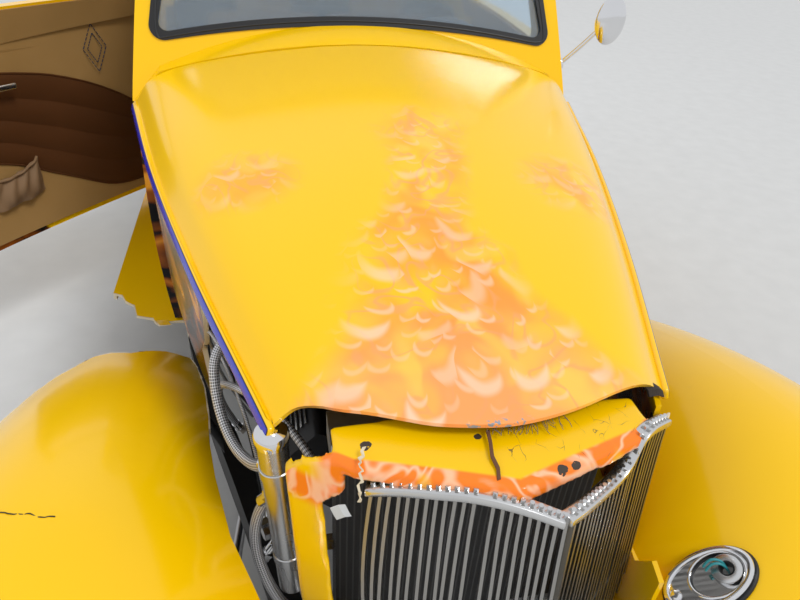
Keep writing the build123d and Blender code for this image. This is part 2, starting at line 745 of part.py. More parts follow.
def column_point(distance):
    """Point on the steering column, measured down from the steering wheel."""
    return (column_x, column_wheel_y - distance * column_slope[0], column_wheel_z - distance * column_slope[1])


column_radius = 20.0
firewall = firewall - rod(column_point(200), column_point(700), column_radius + 0.3)
bulkhead = block(wide, (bulkhead_y, bulkhead_y + sheet_wall), (raised_floor_z, shelf_z + sheet_wall))
riser = block(wide, (riser_y, riser_y + sheet_wall), (floor_z, raised_floor_z + sheet_wall)) - rod(
    (0, riser_y - 1, floor_z), (0, riser_y + 20, floor_z), shaft_tunnel_radius - sheet_wall
)
raised_floor = block(wide, (riser_y, bulkhead_y + sheet_wall), (raised_floor_z, raised_floor_z + sheet_wall))
tunnel_step = (block((-tunnel_radius, tunnel_radius), (tunnel_step_y - sheet_wall, tunnel_step_y), (floor_z, 600)) & rod(
    (0, tunnel_step_y - 20, floor_z), (0, tunnel_step_y + 20, floor_z), tunnel_radius
)) - rod((0, tunnel_step_y - 20, floor_z), (0, tunnel_step_y + 20, floor_z), shaft_tunnel_radius - sheet_wall)
shelf = block(wide, (bulkhead_y, lid_pivot_y + 20), (shelf_z, shelf_z + sheet_wall))
trunk_floor = block(wide, (bulkhead_y, 3500), (trunk_floor_z, trunk_floor_z + sheet_wall))
house_outer = rod(
    (wheel_house_x, rear_axle_y, rear_tyre_radius), (700, rear_axle_y, rear_tyre_radius), wheel_house_radius
)
house_inner = rod(
    (wheel_house_x + wheel_house_wall, rear_axle_y, rear_tyre_radius), (720, rear_axle_y, rear_tyre_radius),
    wheel_house_radius - wheel_house_wall
)
panels = [
    floor_panel, firewall, riser, raised_floor, bulkhead, tunnel_step, shelf, trunk_floor,
    half_tunnel(tunnel_radius, sheet_wall, firewall_y, tunnel_step_y),
    half_tunnel(shaft_tunnel_radius, sheet_wall, tunnel_step_y - sheet_wall, riser_y + sheet_wall),
]
floor = cut_to_cavity(panels[0])
for panel in panels[1:]:
    floor = floor + cut_to_cavity(panel)
for house_out, house_in in ((house_outer, house_inner), (on_right(house_outer), on_right(house_inner))):
    floor = floor - house_out
    floor = floor + cut_to_cavity((house_out - house_in) - block(wide, (2000, 4000), (0, house_foot_z)))


def pivot_lugs(x, y, z, base_y, base_z):
    """Two ears and a pin that carry one goose-neck arm."""
    shapes = [rod((x - 20, y, z), (x + 20, y, z), hinge_pin_radius)]
    for low in (x - 17.0, x + 9.5):
        high = low + 7.5
        ear = rod((low, y, z), (high, y, z), 9.0)
        web_y, web_z = sorted((y, base_y)), sorted((z, base_z))
        if base_z == z:
            web_z = (z - 9, z + 9)
        else:
            web_y = (y - 9, y + 9)
        shapes.append(ear + block((low, high), web_y, web_z))
    return shapes


pivot_parts = []
for x in (-hood_pivot_x, hood_pivot_x):
    pivot_parts += pivot_lugs(x, *hood_pivot, firewall_y + 1, hood_pivot[1])
for x in (-lid_pivot_x, lid_pivot_x):
    pivot_parts += pivot_lugs(x, lid_pivot_y, lid_pivot_z, lid_pivot_y, shelf_z + 1)
for part in pivot_parts:
    floor = floor + part

# Frame: rail stations: y, bottom z, top z
RAIL = (
    (-172.0, 368.0, 432.0), (0.0, 378.0, 452.0), (300.0, 330.0, 430.0), (700.0, 285.0, 385.0), (2420.0, 285.0, 385.0),
    (2620.0, 420.0, 510.0), (2760.0, 492.0, 578.0), (2930.0, 492.0, 578.0), (3100.0, 462.0, 540.0),
    (3470.0, 404.0, 470.0),
)
# Rail plan: y, outer half width
RAIL_PLAN = (
    (-172.0, 246.0), (0.0, 247.7), (250.0, 303.7), (500.0, 369.7), (800.0, 453.7), (1080.0, 515.7), (1250.0, 519.7),
    (2420.0, 519.7), (2850.0, 470.0), (3300.0, 372.0), (3470.0, 330.0),
)
rail_side = [(y, low) for y, low, high in RAIL] + [(y, high) for y, low, high in reversed(RAIL)]
rail_plan = [(x, y) for y, x in RAIL_PLAN] + [(x - rail_width, y) for y, x in reversed(RAIL_PLAN)]
rail = side_prism(rail_side, 100, 600) & plan_prism(rail_plan, 200, 700)
bumper_hole_radius = 7.0
bumper_holes = [rod((100, y, 400), (400, y, 400), bumper_hole_radius) for y in (-140.0, -90.0)]
for hole in bumper_holes:
    rail = rail - hole
write("frame_rails", rail, on_right(rail))
write("floor_and_firewall", largest(floor - rail - on_right(rail)))


def rail_inner(y):
    """Half width between the rails at one station."""
    for (y0, x0), (y1, x1) in zip(RAIL_PLAN, RAIL_PLAN[1:]):
        if y0 <= y <= y1:
            return x0 + (x1 - x0) * (y - y0) / (y1 - y0) - rail_width
    raise ValueError(y)


# Cross tubes: y, z, radius
CROSS_TUBES = ((2250.0, 312.0, 20.0), (3000.0, 546.0, 22.0), (3440.0, 440.0, 20.0))
cross_tubes = [
    largest(rod((-rail_inner(y) - 30, y, z), (rail_inner(y) + 30, y, z), radius) - rail - on_right(rail))
    for y, z, radius in CROSS_TUBES
]
front_member = largest(
    front_prism(
        [(-260, 385), (-120, 385), (-90, 372), (90, 372), (120, 385), (260, 385), (260, 448), (-260, 448)], -34, 34
    ) - rail - on_right(rail)
)
gearbox_member = bent_bar(
    [(-520, 1420, 350), (-160, 1420, 350), (-120, 1420, 270), (120, 1420, 270), (160, 1420, 350), (520, 1420, 350)],
    18.0, 24.0
)
gearbox_member = gearbox_member + block((-34, 34), (1400, 1440), (280, 294))
gearbox_member = largest(gearbox_member - rail - on_right(rail))
brackets = []
for low, high, y_span, z_span in (
    (150.3, 420.0, (540, 580), (350, 385)), (376.3, 390.0, (622, 658), (244, 330)),
    (448.3, 500.0, (2278, 2302), (304, 328)), (448.3, 500.0, (2278, 2302), (338, 362)),
):
    bracket = largest(block((low, high), y_span, z_span) - rail)
    brackets += [bracket, on_right(bracket)]
exhaust_low_z = 256.0
exhaust_radius = 24.0
coil_foot = (352.0, rear_axle_y + 62.0, 363.0)
coil_head = (330.0, 2926.0, 552.0)
damper_radius = 9.0
for index, tube in enumerate(cross_tubes):
    if CROSS_TUBES[index][0] == 2250.0:
        for side in (-1, 1):
            tube = tube + block(sorted((side * 226, side * 238)), (2243, 2257), (exhaust_low_z + exhaust_radius + 0.1, 304))
        cross_tubes[index] = tube
    if CROSS_TUBES[index][0] == 3000.0:
        for side in (-1, 1):
            ear = block(sorted((side * 318, side * 342)), (2910, 3000), (534, 556))
            ear = ear - rod(
                (side * coil_foot[0], *coil_foot[1:]), (side * coil_head[0], *coil_head[1:]), damper_radius + 0.3
            )
            tube = tube + ear
        cross_tubes[index] = tube
iron_start, iron_end = (236.0, -120.0, 404.0), (392.0, -120.0, 760.0)
front_iron = rod(iron_start, iron_end, 9.0) & front_fender_inner
front_iron = largest(front_iron - rail - block((0, 440), (-200, 0), (0, 368)))
rear_iron = rod((340, 540, 370), (470, 540, 740), 9.0) & front_fender_inner
rear_iron = largest(rear_iron - rail - apron)
write(
    "cross_members", cross_tubes, front_member, gearbox_member, brackets, front_iron, on_right(front_iron), rear_iron, on_right(rear_iron)
)

# Front axle and suspension
# Leaves of the front spring, longest first: half length
LEAVES = (396.0, 300.0, 204.0, 120.0)
axle_radius = 25.0
beam_z = 214.0
boss_radius = 21.0
boss_height = 62.0
axle_path = [
    (-kingpin_x + 4, 0, front_tyre_radius), (-kingpin_x + 40, 0, front_tyre_radius), (-470, 0, beam_z),
    (470, 0, beam_z), (kingpin_x - 40, 0, front_tyre_radius), (kingpin_x - 4, 0, front_tyre_radius)
]
axle = bent_bar(axle_path, axle_radius, 34.0)
for x in (-kingpin_x, kingpin_x):
    axle = axle + Pos(x, 0, front_tyre_radius) * Cylinder(boss_radius, boss_height)
for x in (-kingpin_x, kingpin_x):
    axle = axle - Pos(x, 0, front_tyre_radius) * Cylinder(kingpin_radius + running_fit, 200)
spring_eye_radius = 11.0
perch_radius = 13.0
seat_gap = 0.3
perch_x = LEAVES[0] + spring_eye_radius + perch_radius + seat_gap
perch_z = 268.0
for x in (-perch_x, perch_x):
    axle = axle + rod((x, 0, beam_z), (x, 0, perch_z), perch_radius)
write("front_axle", axle)

leaf_thickness = 8.0
leaf_width = 44.0
spring_top_z = 372.0
spring_drop = 82.0


def leaf(index, half_length):
    """One leaf, on the arc that the longest leaf sets."""
    low = spring_top_z - leaf_thickness * (len(LEAVES) - index)
    full = LEAVES[0]

    def height(x):
        return low - spring_drop * (x / full) ** 2

    bottom = ThreePointArc(
        (-half_length, -leaf_width / 2, height(half_length)), (0, -leaf_width / 2, low),
        (half_length, -leaf_width / 2, height(half_length))
    )
    top = ThreePointArc(
        (half_length, -leaf_width / 2, height(half_length) + leaf_thickness), (0, -leaf_width / 2, low + leaf_thickness),
        (-half_length, -leaf_width / 2, height(half_length) + leaf_thickness)
    )
    ends = [Line(bottom @ 1, top @ 0), Line(top @ 1, bottom @ 0)]
    return Solid.extrude(Face(Wire([bottom, ends[0], top, ends[1]])), Vector(0, leaf_width, 0))


spring = leaf(0, LEAVES[0])
for index, half_length in enumerate(LEAVES[1:], 1):
    spring = spring + leaf(index, half_length)
main_end_z = spring_top_z - leaf_thickness * len(LEAVES) - spring_drop
for side in (-1, 1):
    spring = spring + rod((side * LEAVES[0], -24, main_end_z + 4), (side * LEAVES[0], 24, main_end_z + 4), spring_eye_radius)
hairpin_radius = 10.0
hairpin_pivot = (356.0, 640.0, 262.0)
hairpin_front_x = 444.0
hairpins = []
for side in (1, -1):
    rear = Vector(side * hairpin_pivot[0], hairpin_pivot[1], hairpin_pivot[2])
    for sign in (1, -1):
        z = beam_z + sign * (axle_radius + hairpin_radius + seat_gap)
        hairpins.append(rod((side * hairpin_front_x, -6, z), rear, hairpin_radius))
    hairpins.append(rod((side * (hairpin_pivot[0] - 20), *hairpin_pivot[1:]), (side * (hairpin_pivot[0] + 20), *hairpin_pivot[1:]), 18.0))
suspension = spring
for part in hairpins:
    suspension = suspension + (part - axle)
write("front_suspension", suspension)

# Steering knuckles, their arms and the track rod
ear_gap = 0.5
ear_height = 12.0
spindle_radius = hub_bore_radius - running_fit
arm_end = (kingpin_x - 22.0, steer_arm_length, 292.0)


def knuckle_left():
    """Kingpin, two ears, spindle and steering arm of the left front wheel."""
    z = front_tyre_radius
    reach = boss_height / 2 + ear_gap
    shape = Pos(kingpin_x, 0, z) * Cylinder(kingpin_radius, boss_height + 2 * (ear_gap + ear_height))
    for low, high in ((z + reach, z + reach + ear_height), (z - reach - ear_height, z - reach)):
        ear = Pos(kingpin_x, 0, (low + high) / 2) * Cylinder(20.0, high - low)
        shape = shape + ear + block((kingpin_x, kingpin_x + 46), (-18, 18), (low, high))
    yoke = block((kingpin_x + 26, kingpin_x + 46), (-24, 24), (z - reach - ear_height, z + reach + ear_height))
    shape = shape + yoke + rod((kingpin_x + 40, 0, z), (front_half_track + 46, 0, z), spindle_radius)
    arm = bent_bar(
        [(kingpin_x + 6, 0, z - reach - 9), (kingpin_x - 2, 60, z - reach - 9), arm_end], 8.0, 20.0
    )
    eye = Pos(*arm_end) * Cylinder(14.0, 14.0)
    rod_seat = Pos(arm_end[0], arm_end[1], arm_end[2] + 17.0) * Cylinder(18.0, 20.0)
    return shape + arm + eye - rod_seat


knuckle_shape_left = knuckle_left()
write("knuckle_left", knuckle_shape_left)
write("knuckle_right", on_right(knuckle_shape_left))

rod_z = arm_end[2] + 18.3
track_rod = rod((-arm_end[0], arm_end[1], rod_z), (arm_end[0], arm_end[1], rod_z), 10.0)
for side in (-1, 1):
    track_rod = track_rod + Pos(side * arm_end[0], arm_end[1], rod_z) * Cylinder(14.0, 22.0)
write("track_rod", track_rod)

# Wheels and tyres
# Rim profile: x from the wheel's centre plane as a share of the half width, radius below the bead as a share
RIM = (
    (-1.0, 1.07), (-0.9, 1.07), (-0.89, 0.9995), (-0.72, 0.9995), (-0.62, 0.9), (-0.3, 0.8), (0.35, 0.8), (0.62, 0.9),
    (0.72, 0.9995), (0.89, 0.9995), (0.9, 1.07), (1.0, 1.07)
)
RIM_INSIDE = (
    (-1.0, 1.02), (-0.84, 0.95), (-0.62, 0.853), (-0.3, 0.753), (0.35, 0.753), (0.62, 0.853), (0.84, 0.95), (1.0, 1.02)
)


def wheel(rim_radius, half_width, dish):
    """Five-spoke wheel with a drop-centre rim, its hub bored for the spindle, about the X axis."""
    outer = [(x * half_width, 0, r * rim_radius) for x, r in RIM]
    inner = [(x * half_width, 0, r * rim_radius) for x, r in reversed(RIM_INSIDE)]
    rim = revolve(Face(Wire.make_polygon(outer + inner)), axis=Axis.X)
    face_x = half_width * 0.45
    hub = Pos(face_x - 20, 0, 0) * Rot(0, 90, 0) * Cylinder(hub_radius, 60)
    spokes = []
    for index in range(spoke_count):
        turn = Rot(360 * index / spoke_count, 0, 0)
        outline = [
            (face_x - 30, -spoke_width / 2, hub_radius - 20), (face_x - 30, spoke_width / 2, hub_radius - 20),
            (face_x - 26, spoke_width * 0.42, rim_radius * 0.86), (face_x - 26, -spoke_width * 0.42, rim_radius * 0.86),
        ]
        low = Face(Wire.make_polygon(outline))
        spokes.append(turn * Solid.extrude(low, Vector(dish, 0, 0)))
    for spoke in spokes:
        hub = hub + spoke
    shape = rim + hub
    return shape - Rot(0, 90, 0) * Cylinder(hub_bore_radius, 400)


def tyre(radius, half_width, rim_radius):
    """Closed tyre about the X axis, its beads on the rim."""
    widest = rim_radius + 0.42 * (radius - rim_radius)
    right = [
        (0.78, rim_radius), (1.0, widest), (0.985, radius - 30), (0.9, radius - 9), (0.45, radius - 2)
    ]
    side = [(share * half_width, 0, r) for share, r in right]
    outline = side + [(-x, 0, r) for x, _, r in reversed(side)]
    return revolve(Face(Wire.make_polygon(outline)), axis=Axis.X)


# Wheel sets: name, half track, y, tyre radius, tyre width, rim radius
WHEELS = (
    ("front", front_half_track, 0.0, front_tyre_radius, front_tyre_width, front_rim_radius),
    ("rear", rear_half_track, rear_axle_y, rear_tyre_radius, rear_tyre_width, rear_rim_radius),
)
for name, half_track, y, tyre_radius, tyre_width, rim_radius in WHEELS:
    place = Pos(half_track, y, tyre_radius)
    wheel_shape = place * wheel(rim_radius, tyre_width * 0.47, 34.0)
    tyre_shape = place * (tyre(tyre_radius, tyre_width / 2, rim_radius))
    write(f"wheel_{name}_left", wheel_shape)
    write(f"wheel_{name}_right", on_right(wheel_shape))
    write(f"tyre_{name}_left", tyre_shape)
    write(f"tyre_{name}_right", on_right(tyre_shape))

# Rear axle and its suspension
axle_tube_radius = 38.0
rear_axle_z = rear_tyre_radius
stub_radius = hub_bore_radius - running_fit
tube_end_x = rear_half_track - rear_tyre_width / 2 - 4.0
stub_end_x = rear_half_track + 66.0
diff_radius = 132.0
pinion_nose_y = rear_axle_y - 230.0
link_x = 418.0
link_front = (436.0, 2290.0)
link_radius = 11.0
link_eye_radius = 17.0
link_rise = 62.0
rear_axle = rod((-tube_end_x, rear_axle_y, rear_axle_z), (tube_end_x, rear_axle_y, rear_axle_z), axle_tube_radius)
rear_axle = rear_axle + rod(
    (-stub_end_x, rear_axle_y, rear_axle_z), (stub_end_x, rear_axle_y, rear_axle_z), stub_radius
)
diff = Pos(0, rear_axle_y, rear_axle_z) * Sphere(diff_radius) & block(
    (-92, 92), (rear_axle_y - 200, rear_axle_y + 200), (0, 900)
)
rear_axle = rear_axle + diff + rod((0, rear_axle_y, rear_axle_z), (0, pinion_nose_y, rear_axle_z), 52.0)
rear_links = []
for side in (-1, 1):
    low_x, high_x = link_x + 12.3, link_x + 20.3
    rear_axle = rear_axle + block(
        sorted((side * low_x, side * high_x)), (rear_axle_y - 76, rear_axle_y + 20),
        (rear_axle_z - link_rise - 16, rear_axle_z + link_rise + 16)
    )
    rear_axle = rear_axle + block(
        sorted((side * (coil_foot[0] - 10), side * (coil_foot[0] + 10))), (rear_axle_y, coil_foot[1] + 9),
        (rear_axle_z - 20, coil_foot[2] - 1.4)
    )
    for rise, front_z in ((link_rise, 350.0), (-link_rise, 316.0)):
        rear_eye = (side * link_x, rear_axle_y - 58, rear_axle_z + rise)
        front_eye = (side * link_front[0], link_front[1], front_z)
        link = rod(rear_eye, front_eye, link_radius)
        for x, y, z in (rear_eye, front_eye):
            link = link + rod((x - 12, y, z), (x + 12, y, z), link_eye_radius)
        rear_links.append(link)
write("rear_axle", rear_axle)

coil_turns = 7
coil_radius = 30.0
coil_wire = 5.0


def coil_over(foot, head):
    """Damper, its two spring seats and its coil as one turned profile."""
    direction = Vector(*head) - Vector(*foot)
    length = direction.length
    outline = [(0, 0), (damper_radius, 0), (damper_radius, 0.16), (coil_radius + 4, 0.16), (coil_radius + 4, 0.19)]
    for index in range(coil_turns):
        middle = 0.24 + 0.53 * index / (coil_turns - 1)
        outline += [
            (coil_radius - 2 * coil_wire, middle - 0.04), (coil_radius, middle - 0.015), (coil_radius, middle + 0.015),
            (coil_radius - 2 * coil_wire, middle + 0.04)
        ]
    outline += [
        (coil_radius + 4, 0.82), (coil_radius + 4, 0.85), (damper_radius, 0.85), (damper_radius, 1.0), (0, 1.0)
    ]
    face = Face(Wire.make_polygon([(r, 0, share * length) for r, share in outline]))
    return Plane(origin=foot, z_dir=direction) * revolve(face, axis=Axis.Z)


for side in (-1, 1):
    rear_links.append(coil_over((side * coil_foot[0], *coil_foot[1:]), (side * coil_head[0], *coil_head[1:])))
write("rear_suspension", rear_links)

# Engine, gearbox and propeller shaft
engine_front_y = 330.0
engine_rear_y = 850.0
crank_z = 400.0
bank_angle = 45.0
sump_outline = [
    (-110, 262), (110, 262), (122, 330), (150, 370), (150, 440), (70, 520), (-70, 520), (-150, 440), (-150, 370),
    (-122, 330)
]
engine = front_prism(sump_outline, engine_front_y + 20, engine_rear_y)
bank_span = (engine_front_y + 30, engine_rear_y - 30)
covers = []
for side in (-1, 1):
    turn = Pos(0, 0, crank_z) * Rot(0, side * bank_angle, 0)
    engine = engine + turn * block((-66, 66), bank_span, (60, 226))
    engine = engine + turn * block((-78, 92) if side > 0 else (-92, 78), bank_span, (226, 292))
    cover = turn * block((-62, 62), (bank_span[0] + 8, bank_span[1] - 8), (292.3, 346))
    covers.append(fillet(cover.edges().filter_by(Axis.Y), 12.0))
engine = engine + block((-92, 92), (engine_front_y + 60, engine_rear_y - 60), (500, 640))
engine = engine + block((-60, 60), (540, 650), (620, 700))
engine = engine + rod((0, engine_front_y - 24, crank_z), (0, engine_front_y + 30, crank_z), 78.0)
engine = engine + rod((0, engine_front_y - 26, 560), (0, engine_front_y + 60, 560), 62.0)
engine = engine + block((-90, 90), (engine_front_y, engine_front_y + 40), (380, 600))
bell = Solid.make_cone(160.0, 126.0, 170.0, Plane(origin=(0, engine_rear_y, crank_z), z_dir=(0, 1, 0)))
gearbox = Solid.make_cone(126.0, 92.0, 520.0, Plane(origin=(0, engine_rear_y + 170, crank_z), z_dir=(0, 1, 0)))
shaft_z = 383.0
shaft_low_z = rear_axle_z
gearbox = gearbox + rod((0, engine_rear_y + 680, shaft_z), (0, engine_rear_y + 860, shaft_z), 44.0)
shaft = rod((0, engine_rear_y + 850, shaft_z), (0, pinion_nose_y - 50, shaft_low_z), 32.0)
shaft = shaft + rod((0, pinion_nose_y - 70, shaft_low_z), (0, pinion_nose_y - seat_gap, shaft_low_z), 42.0)
write("engine", largest(engine + bell + gearbox + shaft))
cleaner = Pos(0, 595, 738) * Cylinder(116.0, 62.0)
cleaner = chamfer(cleaner.edges(), 10.0) + Pos(0, 595, 704.2) * Cylinder(50.0, 7.8)
write("engine_covers", covers, cleaner)

# Exhausts: a log manifold under each bank, a pipe, a silencer and a tail pipe
exhausts = []
for side in (-1, 1):
    manifold = rod((side * 262, 380, 470), (side * 262, 800, 470), 24.0)
    pipe_run = bent_bar(
        [(side * 262, 790, 470), (side * 262, 900, 460), (side * 232, 1080, exhaust_low_z),
         (side * 232, 2600, exhaust_low_z), (side * 250, 2845, 284), (side * 250, 3250, 362),
         (side * 250, 3600, 368)], exhaust_radius, 60.0
    )
    silencer = rod((side * 232, 1560, exhaust_low_z), (side * 232, 2080, exhaust_low_z), 56.0)
    stubs = [rod((side * 262, y, 470), (side * 231.4, y, 500.6), 14.0) for y in (420, 540, 660, 760)]
    exhausts.append(manifold + pipe_run + silencer + stubs)
write("exhausts", exhausts)

# Fuel tank under the trunk floor
tank = block((-250, 250), (3060, 3370), (472, trunk_floor_z - seat_gap))
tank = fillet(tank.edges().filter_by(Axis.Y), 40.0)
write("fuel_tank", tank)

# Radiator with its fan, and the overflow tank beside it
radiator_front_y = 136.0
radiator = block((-196, 196), (radiator_front_y, radiator_front_y + 52), (470, 860))
radiator = radiator + block((-202, 202), (radiator_front_y, radiator_front_y + 64), (860, 902))
radiator = radiator + block((-202, 202), (radiator_front_y, radiator_front_y + 64), (452.0, 470))
cap = Pos(0, radiator_front_y + 40, 906) * Cylinder(24.0, 16.0)
fan_y = radiator_front_y + 52.0
fan_shroud = rod((0, fan_y - 1, 640), (0, fan_y + 34, 640), 168.0) - rod((0, fan_y + 4, 640), (0, 300, 640), 158.0)
fan = rod((0, fan_y, 640), (0, fan_y + 30, 640), 40.0)
for index in range(6):
    fan = fan + Pos(0, fan_y + 20, 640) * Rot(0, 60 * index, 0) * block((-14, 14), (-3, 3), (20, 160))
radiator = radiator + cap + fan_shroud + fan
write("radiator", largest(radiator))

overflow_radius = 21.0
overflow_foot, overflow_head = (-262.0, 170.0, 560.0), (-276.0, 160.0, 902.0)
overflow = rod(overflow_foot, overflow_head, overflow_radius)
overflow = fillet(overflow.edges(), 6.0)
strap = block((-262, -196.3), (166, 178), (640, 664)) - rod(overflow_foot, overflow_head, overflow_radius - 4)
write("overflow_tank", largest(overflow + strap))

# Hoses, each as a run of points with its radius and bend
HOSES = (
    (8.0, 30.0, ((-80, 450, 620), (-150, 450, 725), (-280, 445, 852), (-352, 430, 862), (-368, 400, 790),
                 (-345, 320, 745), (-304, 235, 775), (-271, 165, 812))),
    (8.0, 26.0, ((-271, 166, 770), (-312, 186, 650), (-290, 150, 570), (-262, 150, 490), (-194, 158, 461))),
    (16.0, 40.0, ((-90, 190, 880), (-90, 300, 860), (-60, 380, 720), (-40, 430, 630))),
)


# Grille shell: height, half width of its posts, forward shift
SHELL = ((390.0, 170.0, -62.0), (654.0, 251.0, -30.0), (894.0, 262.0, 0.0), (1000.0, 262.0, 13.0))
shell_back_y = 130.0
shell_wall = 10.0
shell_foot_z = 448.3
shell_tip_y = -13.0
shell_knee = (0.69, 49.0)
shell_post_y = 112.0
shell_border = (45.0, 24.0, 26.0)


def shell_section(row, inset, back):
    """Plan of the grille shell at one height, set in by its wall."""
    z, half, lean = row
    half -= inset
    knee_x, knee_y = shell_knee[0] * half, shell_knee[1] + lean + 1.1 * inset
    post_y, tip_y = shell_post_y + lean + 0.6 * inset, shell_tip_y + lean + 1.06 * inset
    points = [(-half, post_y), (-knee_x, knee_y), (0, tip_y), (knee_x, knee_y), (half, post_y), (half, back), (-half, back)]
    return Wire.make_polygon([(x, y, z) for x, y in points])


def shell_front(side, top, foot):
    """Space inside the shell's outline seen from the front, set in at its sides, top and foot."""
    corner = [(240.0 - side, 920.0 - top), (262.0 - side, 890.0 - top), (262.0 - side, 860.0)]
    low = [(251.0 - side, 654.0), (188.0 - side, shell_foot_z + foot)]
    half = corner + low
    edges = [ThreePointArc((-200 + side, 0, 944 - top), (0, 0, 952 - top), (200 - side, 0, 944 - top))]
    points = [(200 - side, 944 - top)] + half + [(-x, z) for x, z in reversed(half)] + [(-200 + side, 944 - top)]
    edges += [Line((a[0], 0, a[1]), (b[0], 0, b[1])) for a, b in zip(points, points[1:])]
    return Solid.extrude(Face(Wire(edges)), Vector(0, 1000, 0)).moved(Location((0, -500, 0)))


shell_outer = Solid.make_loft([shell_section(row, 0.0, shell_back_y) for row in SHELL], ruled=True)
shell_pocket = Solid.make_loft([shell_section(row, shell_wall, shell_back_y + 60) for row in SHELL], ruled=True)
grille_shell = (shell_outer & shell_front(0.0, 0.0, 0.0)) - (shell_pocket & shell_front(-60.0, shell_wall, -60.0))
grille_shell = grille_shell - shell_front(*shell_border)

# Grille insert, knocked to the car's left: apex and ends of its top bar
insert_apex = (50.0, -25.0)
insert_ends = ((-178.0, 56.0), (257.0, 110.0))
insert_top_z = 915.0
insert_foot_z = 456.0
insert_lean = 0.125
bar_pitch = 10.6
bar_width = 5.0
bar_depth = 12.0
insert_reach = 0.955


def insert_point(end, share, z):
    """Point on the insert at a share of one wing and a height."""
    x = insert_apex[0] + (end[0] - insert_apex[0]) * share
    y = insert_apex[1] + (end[1] - insert_apex[1]) * share
    return (x, y + (z - insert_top_z) * insert_lean, z)


def wing_foot(share):
    """Lowest height of a bar at a share of one wing."""
    return max(insert_foot_z, 390.0 + (262.0 * share - 170.0) / 81.0 * 264.0)


def slat(end, share, low, high, width, depth):
    """Leaning bar of the insert, square to its wing."""
    direction = Vector(end[0] - insert_apex[0], end[1] - insert_apex[1], 0).normalized()
    normal = Vector(-direction.Y, direction.X, 0)
    foot, head = Vector(*insert_point(end, share, low)), Vector(*insert_point(end, share, high))
    corners = [foot + direction * (a * width / 2) + normal * (b * depth / 2) for a, b in ((-1, -1), (1, -1), (1, 1), (-1, 1))]
    return Solid.extrude(Face(Wire.make_polygon(corners)), head - foot)


def wing_bar(end, z, start, finish, height, depth):
    """Level bar along one wing of the insert."""
    a, b = Vector(*insert_point(end, start, z)), Vector(*insert_point(end, finish, z))
    direction = (b - a).normalized()
    normal = Vector(-direction.Y, direction.X, 0)
    corners = [
        a - normal * (depth / 2), b - normal * (depth / 2), b + normal * (depth / 2), a + normal * (depth / 2)
    ]
    return Solid.extrude(Face(Wire.make_polygon(corners)), Vector(0, 0, height))


bars = []
band = []
for end in insert_ends:
    length = Vector(end[0] - insert_apex[0], end[1] - insert_apex[1], 0).length
    count = int(length * insert_reach / bar_pitch)
    for index in range(count + 1):
        share = index * bar_pitch / length
        if index or end is insert_ends[0]:
            bars.append(slat(end, share, wing_foot(share), insert_top_z + 8, bar_width, bar_depth))
    bars.append(wing_bar(end, insert_top_z - 12, -0.012, insert_reach, 12.0, 16.0))
    bars.append(wing_bar(end, 660.0, -0.012, insert_reach - 0.01, 7.0, 7.0))
    bars.append(wing_bar(end, insert_foot_z, -0.012, 0.72, 8.0, 12.0))
    band.append(slat(end, 0.52, 430.0, 934.0, length * 1.1, 34.0))
studs = [rod((x, y, 906), (x, radiator_front_y + 3, 892), 4.0) - radiator for x, y in ((-100, 28.0), (120, 20.0))]
grille_insert = bars[0].fuse(*bars[1:], *studs)
right_notch = band[1] & block((152, 400), (-300, 300), (300, 926))
lower_notch = band[1] & block((100, 400), (-300, 300), (300, 760))
left_notch = band[0] & block((-200, -140), (-300, 300), (880, 928))
grille_shell = grille_shell - right_notch - lower_notch - left_notch
grille_shell = grille_shell - hood_top - Pos(0, 0, -3) * hood_top
grille_shell = largest(grille_shell)
write("grille_shell", grille_shell)
write("grille_insert", largest(grille_insert - grille_shell))

# Dashboard with the steering column and its box
dash_face_y = 1450.0
dash = block((-700, 700), (firewall_y + sheet_wall + seat_gap, dash_face_y), (1084, 1100))
dash = dash + block((-700, 700), (dash_face_y, dash_face_y + 12), (960, 1100))
door_zone = block((-720, 720), (door_front_y - 12, 1600), (0, 1300))
between_doors = lower_body(side_wall + door_trim_thickness + 8.0, top_wall, 60.0, -20.0, -tail_wall)
dash = (dash & body_cavity) - (door_zone - between_doors)
column_bore = 10.05
jacket = rod(column_point(46), column_point(560), column_radius)
lower_shaft = rod(column_point(550), (column_x, 505, 380), 9.0)
steering_box = block((272, 334), (430, 512), (330, 420)) - rail
hanger = block((column_x - 15, column_x + 15), (dash_face_y, dash_face_y + 12), (850, 970))
dash = dash + hanger + jacket + lower_shaft + largest(steering_box)
dash = dash - rod(column_point(40), column_point(240), column_bore)
write("dashboard", largest(dash))

# Steering wheel
wheel_plane = Plane(origin=steering_wheel_centre, x_dir=(1, 0, 0), z_dir=(0, *column_slope))
rim_section = [
    (wheel_rim_radius + 11.0 * cos(radians(angle)), 0, 11.0 * sin(radians(angle))) for angle in range(0, 360, 36)
]
steering_wheel = wheel_plane * revolve(Face(Wire.make_polygon(rim_section)), axis=Axis.Z)
steering_wheel = steering_wheel + rod(column_point(-14), column_point(40), 34.0)
steering_wheel = steering_wheel + rod(column_point(30), column_point(220), column_bore - running_fit)
for angle in (0, 90, 180, 270):
    spoke = wheel_plane * (Rot(0, 0, angle) * Pos(wheel_rim_radius / 2 + 8, 0, -4) * Box(wheel_rim_radius - 16, 24, 6))
    steering_wheel = steering_wheel + spoke
write("steering_wheel", steering_wheel)

